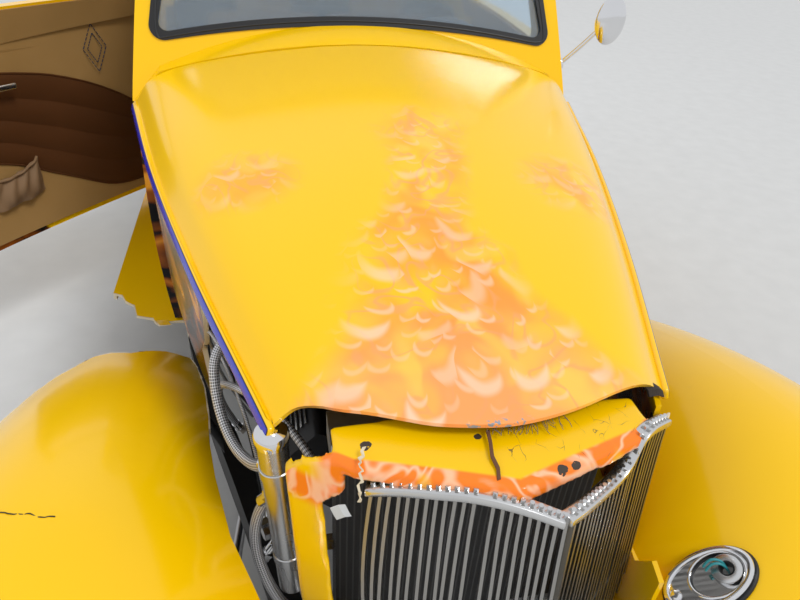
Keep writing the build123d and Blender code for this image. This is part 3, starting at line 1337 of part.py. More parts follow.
# Bench seat
cushion = fillet(block((-490, 490), (1930, 2404), (470, 612)).edges(), 40.0)
base = block((-470, 470), (1960, 2390), (floor_z + sheet_wall + seat_gap, 500))
base = base - rod((0, 1900, floor_z), (0, 2500, floor_z), shaft_tunnel_radius + 5) - block(
    (-shaft_tunnel_radius - 5, shaft_tunnel_radius + 5), (1900, 2500), (300, floor_z)
)
back_outline = [(2330, 600), (2404, 600), (2594, 1008), (2530, 1020), (2480, 1010)]
seat_back = fillet(side_prism(back_outline, -490, 490).edges(), 22.0)
seat = cushion + base + seat_back
for x in (-240, 240):
    seat = seat + fillet(side_prism([(2496, 990), (2580, 990), (2610, 1150), (2540, 1160)], x - 120, x + 120).edges(), 24.0)
write("seat", seat)

# Rear-view mirror on the left windscreen pillar
mirror_foot = (576.0, 1345.0, 1085.0)
mirror_head = (687.0, 1304.0, 1213.0)
mirror = rod((mirror_foot[0] - 20, mirror_foot[1], mirror_foot[2] - 4), (mirror_foot[0] + 14, mirror_foot[1], mirror_foot[2] + 3), 17.0)
mirror = mirror - body_outer
mirror = mirror + rod((mirror_foot[0] + 8, mirror_foot[1], mirror_foot[2] + 1), mirror_head, 6.0)
mirror_plane = Plane(origin=mirror_head, x_dir=(1, 0.1, 0), z_dir=(0.1, -1, 0))
mirror_shell = Solid.extrude((mirror_plane * Ellipse(46.0, 64.0)).face(), mirror_plane.z_dir * 26.0)
mirror = mirror + chamfer(mirror_shell.edges(), 8.0)
write("mirror", largest(mirror - body_outer))

# Headlamp bases on the front fenders
def lamp_base():
    """Oval base with a sunk dish and a bored boss for the lamp's stalk."""
    plane = Plane(origin=lamp_point, x_dir=lamp_slope, z_dir=lamp_normal)

    def oval(size, shift, low, high):
        """Oval prism between two heights over the base point."""
        face = plane.offset(low) * (Pos(shift, 0, 0) * Ellipse(*size))
        return Solid.extrude(face.face(), lamp_normal * (high - low))

    shape = oval(lamp_oval, 0.0, -16.0, 9.0) - oval(lamp_dish, lamp_dish_shift, 3.0, 20.0)
    shape = shape + rod(lamp_centre, lamp_centre + lamp_normal * 12.0, lamp_boss_radius)
    shape = shape - rod(lamp_centre - lamp_normal * 30.0, lamp_centre + lamp_normal * 30.0, lamp_bore)
    return largest(shape - front_fender_outer)


lamp_left = lamp_base()
write("headlamp_bases", lamp_left, on_right(lamp_left))

# Tail lamps on the rear fenders
tail_lamp = rod((652, 3180, 556), (652, 3366, 556), 42.0)
tail_lamp = largest(fillet(tail_lamp.edges().group_by(Axis.Y)[-1], 14.0) - rear_fender_outer)
write("tail_lamps", tail_lamp, on_right(tail_lamp))

hose_ends = radiator + engine + rod(overflow_foot, overflow_head, overflow_radius + 0.2)
hoses = [largest(bent_bar(points, radius, bend) - hose_ends) for radius, bend, points in HOSES]
write("hoses", hoses)
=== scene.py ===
"""Looks of a crash-damaged street rod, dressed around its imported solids."""

from __future__ import annotations

import json
import logging
import math
import random
from dataclasses import dataclass
from enum import Enum
from typing import Callable, Iterable, Protocol, Sequence

import bmesh
import bpy
from mathutils import Matrix, Vector

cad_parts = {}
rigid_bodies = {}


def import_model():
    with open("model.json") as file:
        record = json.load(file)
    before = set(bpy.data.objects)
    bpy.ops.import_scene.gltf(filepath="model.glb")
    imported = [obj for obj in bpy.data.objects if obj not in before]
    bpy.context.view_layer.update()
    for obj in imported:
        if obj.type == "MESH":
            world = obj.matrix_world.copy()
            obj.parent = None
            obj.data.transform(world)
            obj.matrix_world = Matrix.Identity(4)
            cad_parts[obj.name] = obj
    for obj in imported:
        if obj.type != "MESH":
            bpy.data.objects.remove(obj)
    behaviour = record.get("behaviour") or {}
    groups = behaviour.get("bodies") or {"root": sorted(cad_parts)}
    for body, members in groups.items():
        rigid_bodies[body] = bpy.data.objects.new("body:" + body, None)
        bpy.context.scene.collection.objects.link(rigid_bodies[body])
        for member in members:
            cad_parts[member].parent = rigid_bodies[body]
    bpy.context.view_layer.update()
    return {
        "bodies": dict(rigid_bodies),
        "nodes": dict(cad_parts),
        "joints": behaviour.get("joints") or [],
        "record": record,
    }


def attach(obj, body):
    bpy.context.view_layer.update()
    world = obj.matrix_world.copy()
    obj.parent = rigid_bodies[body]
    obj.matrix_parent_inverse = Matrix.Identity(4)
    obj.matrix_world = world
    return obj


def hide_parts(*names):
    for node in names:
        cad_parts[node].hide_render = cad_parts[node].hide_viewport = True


log = logging.getLogger("street_rod")

Point = Sequence[float]
Colour = tuple[float, float, float]
Piece = bpy.types.Object
Socket = bpy.types.NodeSocket
Material = bpy.types.Material

YELLOW: Colour = (0.93, 0.545, 0.0)
FLAME_ORANGE: Colour = (0.95, 0.3, 0.03)
FLAME_PINK: Colour = (0.95, 0.4, 0.17)
FLAME_PALE: Colour = (0.98, 0.62, 0.42)
STRIPE_BLUE: Colour = (0.01, 0.022, 0.5)
FIBRE_PALE: Colour = (0.72, 0.62, 0.44)

DOOR_OPEN = math.radians(43.0)
DOOR_HINGE = (-0.7, 2.34)
MERGE_GAP = 0.00005
SEGMENTS = 48

# Name of each axle, half track, distance along the car, tyre radius, tyre width and rim radius, in metres.
AXLES = (("front", 0.7, 0.0, 0.31, 0.185, 0.19), ("rear", 0.695, 2.845, 0.355, 0.25, 0.203))


class Side(Enum):
    """Side of the car, as the sign of X."""

    LEFT = 1
    RIGHT = -1

    @property
    def word(self) -> str:
        """Name used in node names."""
        return self.name.lower()


# Shading: numbers and nodes, then the finishes made of them.


class Num:
    """A number that varies over a surface, with Python arithmetic that adds Math nodes."""

    def __init__(self, shade: Shade, socket: Socket) -> None:
        """Keeps the socket and the shade that it belongs to."""
        self.shade = shade
        self.socket = socket

    def math(self, operation: str, *others: Num | float, swap: bool = False) -> Num:
        """Adds one Math node.

        Args:
            operation: The node's operation.
            others: Further operands.
            swap: Whether the first other operand comes before this one.

        Returns:
            The node's result.
        """
        values = [self, *others]
        if swap:
            values[0], values[1] = values[1], values[0]
        made = self.shade.node("ShaderNodeMath", {"operation": operation}, dict(enumerate(values)))
        return made.num("Value")

    def __add__(self, other: Num | float) -> Num:
        """Sum."""
        return self.math("ADD", other)

    __radd__ = __add__

    def __sub__(self, other: Num | float) -> Num:
        """Difference."""
        return self.math("SUBTRACT", other)

    def __rsub__(self, other: float) -> Num:
        """Difference from a plain number."""
        return self.math("SUBTRACT", other, swap=True)

    def __mul__(self, other: Num | float) -> Num:
        """Product."""
        return self.math("MULTIPLY", other)

    __rmul__ = __mul__

    def __truediv__(self, other: Num | float) -> Num:
        """Quotient."""
        return self.math("DIVIDE", other)

    def __abs__(self) -> Num:
        """Size without sign."""
        return self.math("ABSOLUTE")

    def __pow__(self, other: float) -> Num:
        """Power."""
        return self.math("POWER", other)

    def high(self, other: Num | float) -> Num:
        """Larger of two."""
        return self.math("MAXIMUM", other)

    def wave(self) -> Num:
        """Sine."""
        return self.math("SINE")

    def rise(self, start: float, end: float) -> Num:
        """Smooth step.

        Args:
            start: Value where the step is nought.
            end: Value where it is one; it may lie below the start.

        Returns:
            The step, from nought to one.
        """
        settings = {"interpolation_type": "SMOOTHSTEP", "clamp": True}
        inputs = {"Value": self, "From Min": min(start, end), "From Max": max(start, end)}
        if start > end:
            inputs.update({"To Min": 1.0, "To Max": 0.0})
        return self.shade.node("ShaderNodeMapRange", settings, inputs).num("Result")


class Made:
    """A node that has been added."""

    def __init__(self, shade: Shade, node: bpy.types.Node) -> None:
        """Keeps the node and its shade."""
        self.shade = shade
        self.node = node

    def num(self, name: str) -> Num:
        """Output of that name as a number."""
        return Num(self.shade, self.node.outputs[name])

    def out(self, name: str) -> Socket:
        """Output socket of that name."""
        return self.node.outputs[name]


class Shade:
    """Node tree of one finish."""

    def __init__(self, name: str) -> None:
        """Starts an empty material of that name."""
        self.material = bpy.data.materials.new(name)
        self.material.use_nodes = True
        self.tree = self.material.node_tree
        self.tree.nodes.clear()

    def node(self, kind: str, settings: dict | None = None, inputs: dict | None = None) -> Made:
        """Adds one node.

        Args:
            kind: The node's type.
            settings: Its own settings, set first; "stops" holds a ramp's stops.
            inputs: Values or links of its sockets, by name or index.

        Returns:
            The node.
        """
        made = self.tree.nodes.new(kind)
        for key, value in (settings or {}).items():
            if key == "stops":
                self._stops(made.color_ramp, value)
            else:
                setattr(made, key, value)
        for key, value in (inputs or {}).items():
            socket = made.inputs[key]
            if isinstance(value, Num):
                self.tree.links.new(value.socket, socket)
            elif isinstance(value, Socket):
                self.tree.links.new(value, socket)
            elif isinstance(value, tuple) and socket.type == "RGBA":
                socket.default_value = (*value, 1.0)
            else:
                socket.default_value = value
        return Made(self, made)

    @staticmethod
    def _stops(ramp: bpy.types.ColorRamp, stops: Sequence[tuple[float, Colour]]) -> None:
        """Fills a colour ramp.

        Args:
            ramp: The ramp.
            stops: Place and colour of each stop.
        """
        while len(ramp.elements) < len(stops):
            ramp.elements.new(0.5)
        for element, (place, colour) in zip(ramp.elements, stops):
            element.position = place
            element.color = (*colour, 1.0)

    def vector(self, operation: str, inputs: dict) -> Made:
        """Adds one Vector Math node."""
        return self.node("ShaderNodeVectorMath", {"operation": operation}, inputs)

    def mapped(self, vector: Socket, turn: Point = (0, 0, 0), scale: Point = (1, 1, 1),
               shift: Point = (0, 0, 0)) -> Socket:
        """Vector that is scaled, turned and then shifted."""
        inputs = {"Vector": vector, "Location": tuple(shift), "Rotation": tuple(turn), "Scale": tuple(scale)}
        return self.node("ShaderNodeMapping", None, inputs).out("Vector")

    def spot(self, shift: Point = (0, 0, 0), turn: float = 0.0) -> Socket:
        """Object coordinates, turned about Z and shifted."""
        return self.mapped(self.node("ShaderNodeTexCoord").out("Object"), (0.0, 0.0, turn), shift=shift)

    def parts(self, vector: Socket) -> tuple[Num, Num, Num]:
        """X, Y and Z of a vector."""
        split = self.node("ShaderNodeSeparateXYZ", None, {0: vector})
        return split.num("X"), split.num("Y"), split.num("Z")

    def facing(self) -> tuple[Num, Num, Num]:
        """X, Y and Z of the surface's normal."""
        return self.parts(self.node("ShaderNodeTexCoord").out("Normal"))

    def noise(self, vector: Socket, scale: float, detail: float = 2.0, twist: float = 0.0) -> Num:
        """Soft noise from nought to one."""
        inputs = {"Vector": vector, "Scale": scale, "Detail": detail, "Roughness": 0.5, "Distortion": twist}
        return self.node("ShaderNodeTexNoise", None, inputs).num("Fac")

    def warp(self, place: Socket, scale: float, detail: float, push: float) -> Socket:
        """Place that is shifted by a soft noise.

        Args:
            place: Place to shift.
            scale: Scale of the noise.
            detail: Detail of the noise.
            push: Largest shift, in metres.

        Returns:
            The shifted place.
        """
        cloud = self.node("ShaderNodeTexNoise", None, {"Vector": place, "Scale": scale, "Detail": detail})
        step = self.vector("SCALE", {0: cloud.out("Color"), "Scale": push})
        return self.vector("ADD", {0: place, 1: step.out("Vector")}).out("Vector")

    def cracks(self, vector: Socket, scale: float) -> Num:
        """Distance to the nearest cell edge of an irregular net."""
        inputs = {"Vector": vector, "Scale": scale, "Randomness": 1.0}
        return self.node("ShaderNodeTexVoronoi", {"feature": "DISTANCE_TO_EDGE"}, inputs).num("Distance")

    def mix(self, share: Num | float, low: Colour | Socket, high: Colour | Socket) -> Socket:
        """Colour between two.

        Args:
            share: Share of the high colour.
            low: Colour at a share of nought.
            high: Colour at a share of one.

        Returns:
            The mixed colour.
        """
        settings = {"data_type": "RGBA", "blend_type": "MIX", "clamp_factor": True}
        return self.node("ShaderNodeMix", settings, {0: share, 6: low, 7: high}).node.outputs[2]

    def crescents(self, vector: Socket, scale: float, size: float, width: float) -> tuple[Num, Num]:
        """Soft crescents, one to a cell of an irregular net in X and Y, with their hollows towards +Y.

        Args:
            vector: Place that the net reads.
            scale: Cells in a metre.
            size: Radius of a crescent, in cells.
            width: Thickness at its middle, in cells.

        Returns:
            The crescents and the hollows inside them, from nought to one.
        """
        settings = {"voronoi_dimensions": "2D", "feature": "F1"}
        inputs = {"Vector": vector, "Scale": scale, "Randomness": 0.9}
        cell = self.node("ShaderNodeTexVoronoi", settings, inputs)
        gap = self.vector("SUBTRACT", {0: vector, 1: cell.out("Position")})
        across, along, _ = self.parts(gap.out("Vector"))
        first, second, third = self.parts(cell.out("Color"))
        reach = (across * across + along * along) ** 0.5
        lean = (first - 0.5) * 1.5
        facing = (across * lean - along) / (reach + 0.0001)
        strength = facing.rise(-0.25, 0.95)
        radius = second * 0.14 + size
        ring = strength * width - abs(reach * scale - radius)
        bright = third * 0.6 + 0.4
        arc = ring.rise(-0.02, width * 0.8) * strength.rise(0.02, 0.4) * bright
        hollow = (radius - reach * scale).rise(0.0, size) * bright
        return arc, hollow

    def near(self, vector: Socket, centre: Point, reach: float) -> Num:
        """One at a place, falling to nought at a distance from it."""
        return self.vector("DISTANCE", {0: vector, 1: tuple(centre)}).num("Value").rise(reach, reach * 0.35)

    def bump(self, height: Num, strength: float, distance: float) -> Socket:
        """Normal raised by a height."""
        inputs = {"Height": height, "Strength": strength, "Distance": distance}
        return self.node("ShaderNodeBump", None, inputs).out("Normal")

    def surface(self, inputs: dict) -> Material:
        """Ends the tree in one Principled shader with these values or links."""
        shader = self.node("ShaderNodeBsdfPrincipled", None, inputs)
        self.node("ShaderNodeOutputMaterial", None, {"Surface": shader.out("BSDF")})
        return self.material

    def lacquer(self, place: Socket, colour: Socket, dull: Num | float = 0.0,
                bare: Num | float = 0.0) -> Material:
        """Ends the tree in gloss paint under a thin clear coat.

        Args:
            place: Place that the fine noises read.
            colour: Colour of the paint.
            dull: Roughness that is added.
            bare: Share that has no clear coat.

        Returns:
            The finished material.
        """
        return self.surface({
            "Metallic": 0.0, "Coat Roughness": 0.1, "Specular IOR Level": 0.25, "Base Color": colour,
            "Roughness": self.noise(place, 3.0) * 0.06 + 0.2 + dull, "Coat Weight": (1.0 - bare) * 0.3,
            "Normal": self.bump(self.noise(place, 260.0), 0.02, 0.001),
        })


class Recipe(Protocol):
    """What every finish offers: its name and a way to make it."""

    @property
    def name(self) -> str:
        """Name of the material."""

    def build(self) -> Material:
        """Makes the material."""


@dataclass(frozen=True)
class Finish:
    """Plain finish with the same values all over, lightly broken up by noise."""

    name: str
    colour: Colour
    metallic: float = 0.0
    rough: float = 0.4
    coat: float = 0.0
    grain: float = 0.0
    grain_size: float = 300.0
    clear: float = 0.0

    def build(self) -> Material:
        """Makes the material."""
        shade = Shade(self.name)
        place = shade.spot()
        cloud = shade.noise(place, 9.0)
        inputs = {
            "Base Color": shade.mix(cloud, tuple(0.88 * c for c in self.colour), self.colour),
            "Roughness": cloud * 0.12 + (self.rough - 0.06), "Metallic": self.metallic,
            "Coat Weight": self.coat, "Coat Roughness": 0.04,
        }
        if self.grain:
            inputs["Normal"] = shade.bump(shade.noise(place, self.grain_size, 3.0), self.grain, 0.001)
        if self.clear:
            inputs.update({"Transmission Weight": self.clear, "IOR": 1.45})
        return shade.surface(inputs)


@dataclass(frozen=True)
class FlamePaint:
    """Yellow gloss paint with airbrushed flames on the hood's top and chips at its lip."""

    name: str = "hood_paint"
    band: tuple[tuple[float, float], ...] = (
        (0.08, 0.32), (0.13, 0.24), (0.18, 0.205), (0.24, 0.155), (0.33, 0.115), (0.56, 0.1), (0.82, 0.08),
        (0.92, 0.0)
    )
    licks: tuple[tuple[Point, float], ...] = (((-0.3, 0.665, 1.04), 0.12), ((0.315, 0.62, 1.04), 0.13))

    def build(self) -> Material:
        """Makes the material."""
        shade = Shade(self.name)
        place = shade.spot()
        x, y, _ = shade.parts(place)
        stretched = shade.mapped(shade.warp(place, 6.0, 1.5, 0.075), scale=(1.0, 0.74, 1.0))
        inside = self._inside(shade, place, x, y)
        strength = y.rise(1.0, 0.18) * 0.5 + 0.5
        large, large_hollow = shade.crescents(stretched, 15.0, 0.3, 0.17)
        small, small_hollow = shade.crescents(stretched, 27.0, 0.27, 0.12)
        heat = shade.noise(stretched, 9.0, 1.5, 0.8).rise(0.33, 0.58)
        tongues = shade.noise(stretched, 13.0, 1.0, 0.6).rise(0.52, 0.68)
        veins = abs(shade.noise(stretched, 12.0, 1.0, 1.3) - 0.5).rise(0.045, 0.0)
        arcs = large.high(small * 0.7)
        chips = shade.noise(place, 150.0, 3.0).rise(0.54, 0.57)
        chipped = chips * y.rise(0.086, 0.078) * abs(x + 0.008).rise(0.05, 0.03)
        under = shade.facing()[2].rise(-0.2, -0.5)
        layers = (
            (heat * inside * strength, FLAME_ORANGE), (y.rise(0.34, 0.13) * inside * 0.5, FLAME_PINK),
            (large_hollow * inside * strength * 0.42, (0.96, 0.52, 0.06)),
            (small_hollow * inside * strength * 0.25, FLAME_PINK),
            (tongues * inside * 0.55, (0.97, 0.6, 0.08)),
            (veins * inside * 0.6, (0.93, 0.34, 0.12)), (arcs * inside * strength * 0.85, FLAME_PALE),
            (chipped, (0.3, 0.32, 0.36)), (under, (0.3, 0.19, 0.03)),
        )
        colour = YELLOW
        for share, tint in layers:
            colour = shade.mix(share, colour, tint)
        return shade.lacquer(place, colour, chipped * 0.5 + under * 0.4, chipped.high(under))

    def _inside(self, shade: Shade, place: Socket, x: Num, y: Num) -> Num:
        """Area of the flames.

        Args:
            shade: Node tree.
            place: Object coordinates.
            x: Distance across the car.
            y: Distance along the car.

        Returns:
            One inside the band and near the licks beside it, nought elsewhere.
        """
        stops = [(at, (value, value, value)) for at, value in self.band]
        half = Num(shade, shade.node("ShaderNodeValToRGB", {"stops": stops}, {"Fac": y}).out("Color"))
        centre = (y - 0.32).high(0.0) * 0.14 - 0.03
        edge = half - abs(x - centre) + (shade.noise(place, 4.5) - 0.5) * 0.2
        inside = edge.rise(-0.03, 0.06) * half.rise(0.0, 0.03)
        first, second = (shade.near(place, spot, reach) for spot, reach in self.licks)
        return inside.high(first.high(second) * 0.75)


@dataclass(frozen=True)
class BeadPaint:
    """Yellow bead along the hood's edge with a blue stripe on its outer face."""

    name: str = "bead_paint"

    def build(self) -> Material:
        """Makes the material."""
        shade = Shade(self.name)
        place = shade.spot()
        x = shade.parts(place)[0]
        outward = shade.facing()[0] * (x / abs(x))
        colour = shade.mix(outward.rise(0.42, 0.5), YELLOW, (0.01, 0.01, 0.012))
        colour = shade.mix(outward.rise(0.68, 0.74), colour, STRIPE_BLUE)
        return shade.surface({
            "Metallic": 0.0, "Coat Weight": 0.3, "Coat Roughness": 0.1, "Base Color": colour,
            "Roughness": shade.noise(place, 4.0) * 0.05 + 0.2,
        })


@dataclass(frozen=True)
class SidePaint:
    """Yellow gloss paint, black below the belt at the car's front with flames that trail back over it."""

    name: str
    turn: float = 0.0
    pivot: tuple[float, float] = (0.0, 0.0)
    reach: float = 1.75

    def build(self) -> Material:
        """Makes the material."""
        shade = Shade(self.name)
        cos_turn, sin_turn = math.cos(self.turn), math.sin(self.turn)
        px, py = self.pivot
        shift = (px - (cos_turn * px - sin_turn * py), py - (sin_turn * px + cos_turn * py), 0.0)
        place = shade.spot(shift=shift, turn=self.turn)
        x, y, z = shade.parts(place)
        streaks = shade.mapped(place, (0.55, 0.0, 0.0), (0.2, 0.55, 0.8))
        lick = shade.noise(streaks, 5.0, 1.5, 1.2)
        belt = y.rise(0.05, 1.25) * 0.088 + 0.905
        low = (belt - z + (lick - 0.5) * 0.05).rise(0.0, 0.02)
        back = (self.reach - y + (lick - 0.5) * 1.1).rise(0.0, 0.05)
        black = low * back * abs(x).rise(0.2, 0.24)
        broad = shade.noise(streaks, 13.0, 1.5, 1.4)
        colour = shade.mix(broad.rise(0.42, 0.64) * 0.85, (0.005, 0.004, 0.005), (0.5, 0.13, 0.008))
        colour = shade.mix(broad.rise(0.58, 0.72), colour, (0.9, 0.4, 0.03))
        return shade.lacquer(place, shade.mix(black, YELLOW, colour))


@dataclass(frozen=True)
class PanelPaint:
    """Yellow gloss paint with a rough underside, and cracks and chips at named places."""

    name: str
    cracked: tuple[tuple[Point, float], ...] = ()
    chipped: tuple[tuple[Point, float], ...] = ()
    flamed: bool = False

    def build(self) -> Material:
        """Makes the material."""
        shade = Shade(self.name)
        place = shade.spot()
        facing = shade.facing()
        under = facing[2].rise(-0.15, -0.4)
        colour = shade.mix(shade.noise(place, 2.5), YELLOW, tuple(c * 0.97 for c in YELLOW))
        if self.flamed:
            colour = self._flames(shade, place, facing[1], colour)
        marks = self._marks(shade, place)
        colour = shade.mix(marks, colour, (0.05, 0.035, 0.025))
        colour = shade.mix(under, colour, (0.16, 0.12, 0.06))
        return shade.lacquer(place, colour, under * 0.5 + marks * 0.4, under)

    @staticmethod
    def _flames(shade: Shade, place: Socket, ahead: Num, colour: Socket) -> Socket:
        """Flames along the front edge of the top.

        Args:
            shade: Node tree.
            place: Object coordinates.
            ahead: Part of the normal along the car.
            colour: Colour beneath them.

        Returns:
            The colour with the flames over it.
        """
        x, y, z = shade.parts(place)
        curls = abs(shade.noise(place, 15.0, 1.2, 1.6) - 0.5)
        front = (abs(x) * 0.342).high(abs(x) * 0.778 - 0.079) - 0.013
        near_edge = (y - front).rise(0.026, 0.02) * z.rise(0.925, 0.935)
        faced = ahead.rise(-0.25, -0.45) * z.rise(0.848, 0.872)
        corner = x.rise(-0.212, -0.236) * z.rise(0.896, 0.912)
        band = near_edge.high(faced) * (1.0 - corner)
        flame = shade.mix(curls.rise(0.0, 0.1), (0.97, 0.5, 0.3), (0.93, 0.19, 0.012))
        flame = shade.mix(shade.noise(place, 17.0, 1.0).rise(0.56, 0.68), flame, (0.98, 0.48, 0.02))
        return shade.mix(band * 0.95, colour, flame)

    def _marks(self, shade: Shade, place: Socket) -> Num | float:
        """Cracks and chips at their places, from nought to one.

        Args:
            shade: Node tree.
            place: Object coordinates.

        Returns:
            The marks, from nought to one.
        """
        marks: Num | float = 0.0
        for centre, reach in self.cracked:
            net = shade.cracks(shade.warp(place, 22.0, 3.0, 0.035), 34.0)
            broken = shade.noise(place, 40.0, 1.0).rise(0.46, 0.6)
            spot = shade.near(place, centre, reach).rise(0.15, 0.6)
            marks = (net.rise(0.012, 0.004) * spot * broken * 0.8).high(marks)
        for centre, reach in self.chipped:
            spot = shade.near(place, centre, reach)
            marks = (shade.noise(place, 110.0, 3.0) * 0.55 + spot * 0.5).rise(0.66, 0.69).high(marks)
        return marks


@dataclass(frozen=True)
class BraidFinish:
    """Woven steel sleeve on a hose, on the piece's own UV map."""

    name: str = "steel_braid"
    along: float = 60.0
    around: float = 7.0

    def build(self) -> Material:
        """Makes the material."""
        shade = Shade(self.name)
        u, v, _ = shade.parts(shade.node("ShaderNodeTexCoord").out("UV"))
        turns = v * (self.around * 2 * math.pi)
        steps = u * (self.along * 2 * math.pi)
        weave = (steps + turns).wave() * (steps - turns).wave() * 0.5 + 0.5
        return shade.surface({
            "Base Color": shade.mix(weave.rise(0.15, 0.75), (0.06, 0.06, 0.07), (0.78, 0.78, 0.8)),
            "Metallic": 0.55, "Coat Weight": 0.0, "Roughness": 0.5 - weave * 0.2,
            "Normal": shade.bump(weave, 0.5, 0.001),
        })


@dataclass(frozen=True)
class HideFinish:
    """Leather-like vinyl with a fine grain and soft wear."""

    name: str
    colour: Colour
    dark: Colour

    def build(self) -> Material:
        """Makes the material."""
        shade = Shade(self.name)
        place = shade.spot()
        cloud = shade.noise(place, 7.0, 3.0)
        height = shade.cracks(place, 420.0).rise(0.0, 0.25)
        return shade.surface({
            "Base Color": shade.mix(cloud, self.dark, self.colour), "Metallic": 0.0,
            "Specular IOR Level": 0.22, "Roughness": cloud * 0.12 + 0.6,
            "Normal": shade.bump(height, 0.25, 0.0006),
        })


@dataclass(frozen=True)
class TyreFinish:
    """Black tyre rubber with sidewall rings and tread blocks about the wheel's own axle."""

    name: str
    axle: tuple[float, float]
    half_track: float
    radius: float

    def build(self) -> Material:
        """Makes the material."""
        shade = Shade(self.name)
        place = shade.spot()
        x, y, z = shade.parts(place)
        dy, dz = y - self.axle[0], z - self.axle[1]
        reach = (dy * dy + dz * dz) ** 0.5
        slant = (abs(x) - self.half_track) * 260.0
        tread = reach.rise(self.radius - 0.022, self.radius - 0.016)
        sipes = (dy.math("ARCTAN2", dz) * 72.0 + slant).wave().rise(0.86, 0.97)
        rings = (reach * 900.0).wave().rise(0.4, 1.0) * (1.0 - tread) * 0.25
        dust = shade.noise(place, 18.0, 3.0)
        return shade.surface({
            "Base Color": shade.mix(dust, (0.012, 0.012, 0.013), (0.028, 0.027, 0.026)), "Metallic": 0.0,
            "Roughness": dust * 0.15 + 0.7, "Normal": shade.bump(1.0 - sipes * tread - rings, 0.6, 0.004),
        })


@dataclass(frozen=True)
class CoreFinish:
    """Radiator: dark core with fine fins, brighter tanks above and below."""

    name: str = "radiator_core"

    def build(self) -> Material:
        """Makes the material."""
        shade = Shade(self.name)
        x, _, z = shade.parts(shade.spot())
        tank = z.rise(0.858, 0.861).high(z.rise(0.472, 0.469))
        fins = (z * 2600.0).wave()
        tubes = (x * 620.0).wave().rise(0.55, 0.8)
        colour = shade.mix(fins * 0.5 + 0.5, (0.01, 0.01, 0.01), (0.07, 0.07, 0.07))
        colour = shade.mix(tubes, colour, (0.1, 0.1, 0.1))
        height = (fins * 0.5 + tubes) * (1.0 - tank)
        return shade.surface({
            "Base Color": shade.mix(tank, colour, (0.55, 0.55, 0.54)), "Metallic": tank * 0.9,
            "Roughness": 0.55 - tank * 0.2, "Normal": shade.bump(height, 0.4, 0.002),
        })


# Finishes that several pieces share.
CHROME = Finish("bright_chrome", (0.82, 0.82, 0.83), metallic=1.0, rough=0.1)
WORN_CHROME = Finish("worn_chrome", (0.62, 0.62, 0.62), metallic=1.0, rough=0.26)
BAR_CHROME = Finish("bar_chrome", (0.4, 0.39, 0.37), metallic=1.0, rough=0.3)
DARK_ALLOY = Finish("dark_alloy", (0.045, 0.045, 0.048), metallic=0.6, rough=0.4)
POLISHED = Finish("polished_alloy", (0.72, 0.72, 0.72), metallic=1.0, rough=0.24)
STEEL = Finish("bright_steel", (0.48, 0.48, 0.49), metallic=1.0, rough=0.36)
BLACK_PAINT = Finish("chassis_black", (0.008, 0.008, 0.009), rough=0.6, coat=0.1)
FLOOR_BLACK = Finish("floor_black", (0.02, 0.02, 0.021), rough=0.75, grain=0.3, grain_size=160.0)
IRON = Finish("engine_iron", (0.035, 0.035, 0.038), metallic=0.5, rough=0.5, grain=0.3, grain_size=180.0)
EXHAUST = Finish("exhaust_steel", (0.4, 0.36, 0.31), metallic=1.0, rough=0.42)
GASKET = Finish("gasket_rubber", (0.008, 0.008, 0.009), rough=0.45, grain=0.15)
GREY_BEAD = Finish("grey_bead", (0.02, 0.021, 0.024), rough=0.35)
GREY_RIM = Finish("grey_rim", (0.36, 0.345, 0.32), rough=0.42)
FIBRE = Finish("bare_fibreglass", FIBRE_PALE, rough=0.85, grain=0.9, grain_size=420.0)
LENS = Finish("red_lens", (0.35, 0.004, 0.006), rough=0.12, coat=1.0)
GLASS = Finish("window_glass", (0.62, 0.76, 0.88), rough=0.1, clear=0.86, coat=1.0)
MIRROR = Finish("mirror_glass", (0.9, 0.9, 0.9), metallic=1.0, rough=0.06)
WIRE_TEAL = Finish("teal_wire", (0.02, 0.24, 0.26), rough=0.4)
WIRE_BLACK = Finish("black_wire", (0.01, 0.01, 0.01), rough=0.45)
RUST = Finish("rusty_strip", (0.16, 0.07, 0.035), metallic=0.3, rough=0.8, grain=0.8)
TAN = HideFinish("tan_vinyl", (0.42, 0.245, 0.085), (0.34, 0.195, 0.062))
BROWN = HideFinish("brown_vinyl", (0.1, 0.034, 0.008), (0.072, 0.024, 0.005))
TAUPE = HideFinish("taupe_pocket", (0.27, 0.165, 0.085), (0.19, 0.11, 0.055))
SHELL_PAINT = PanelPaint(
    "shell_paint",
    cracked=(((0.02, 0.07, 0.952), 0.05), ((0.1, 0.08, 0.95), 0.07), ((0.16, 0.1, 0.95), 0.05)),
    chipped=(((-0.165, 0.09, 0.95), 0.015), ((0.055, 0.016, 0.95), 0.014), ((-0.175, 0.06, 0.9), 0.012),
             ((-0.03, 0.08, 0.952), 0.009), ((0.075, 0.022, 0.95), 0.012)),
    flamed=True
)


class Paints:
    """Builds each finish once and hands out its material."""

    def __init__(self) -> None:
        """Starts with no material built."""
        self._made: dict[str, Material] = {}

    def get(self, finish: Recipe) -> Material:
        """Material of a finish."""
        if finish.name not in self._made:
            self._made[finish.name] = finish.build()
        return self._made[finish.name]


PAINTS = Paints()


# Shaping, joining and mounting of pieces.


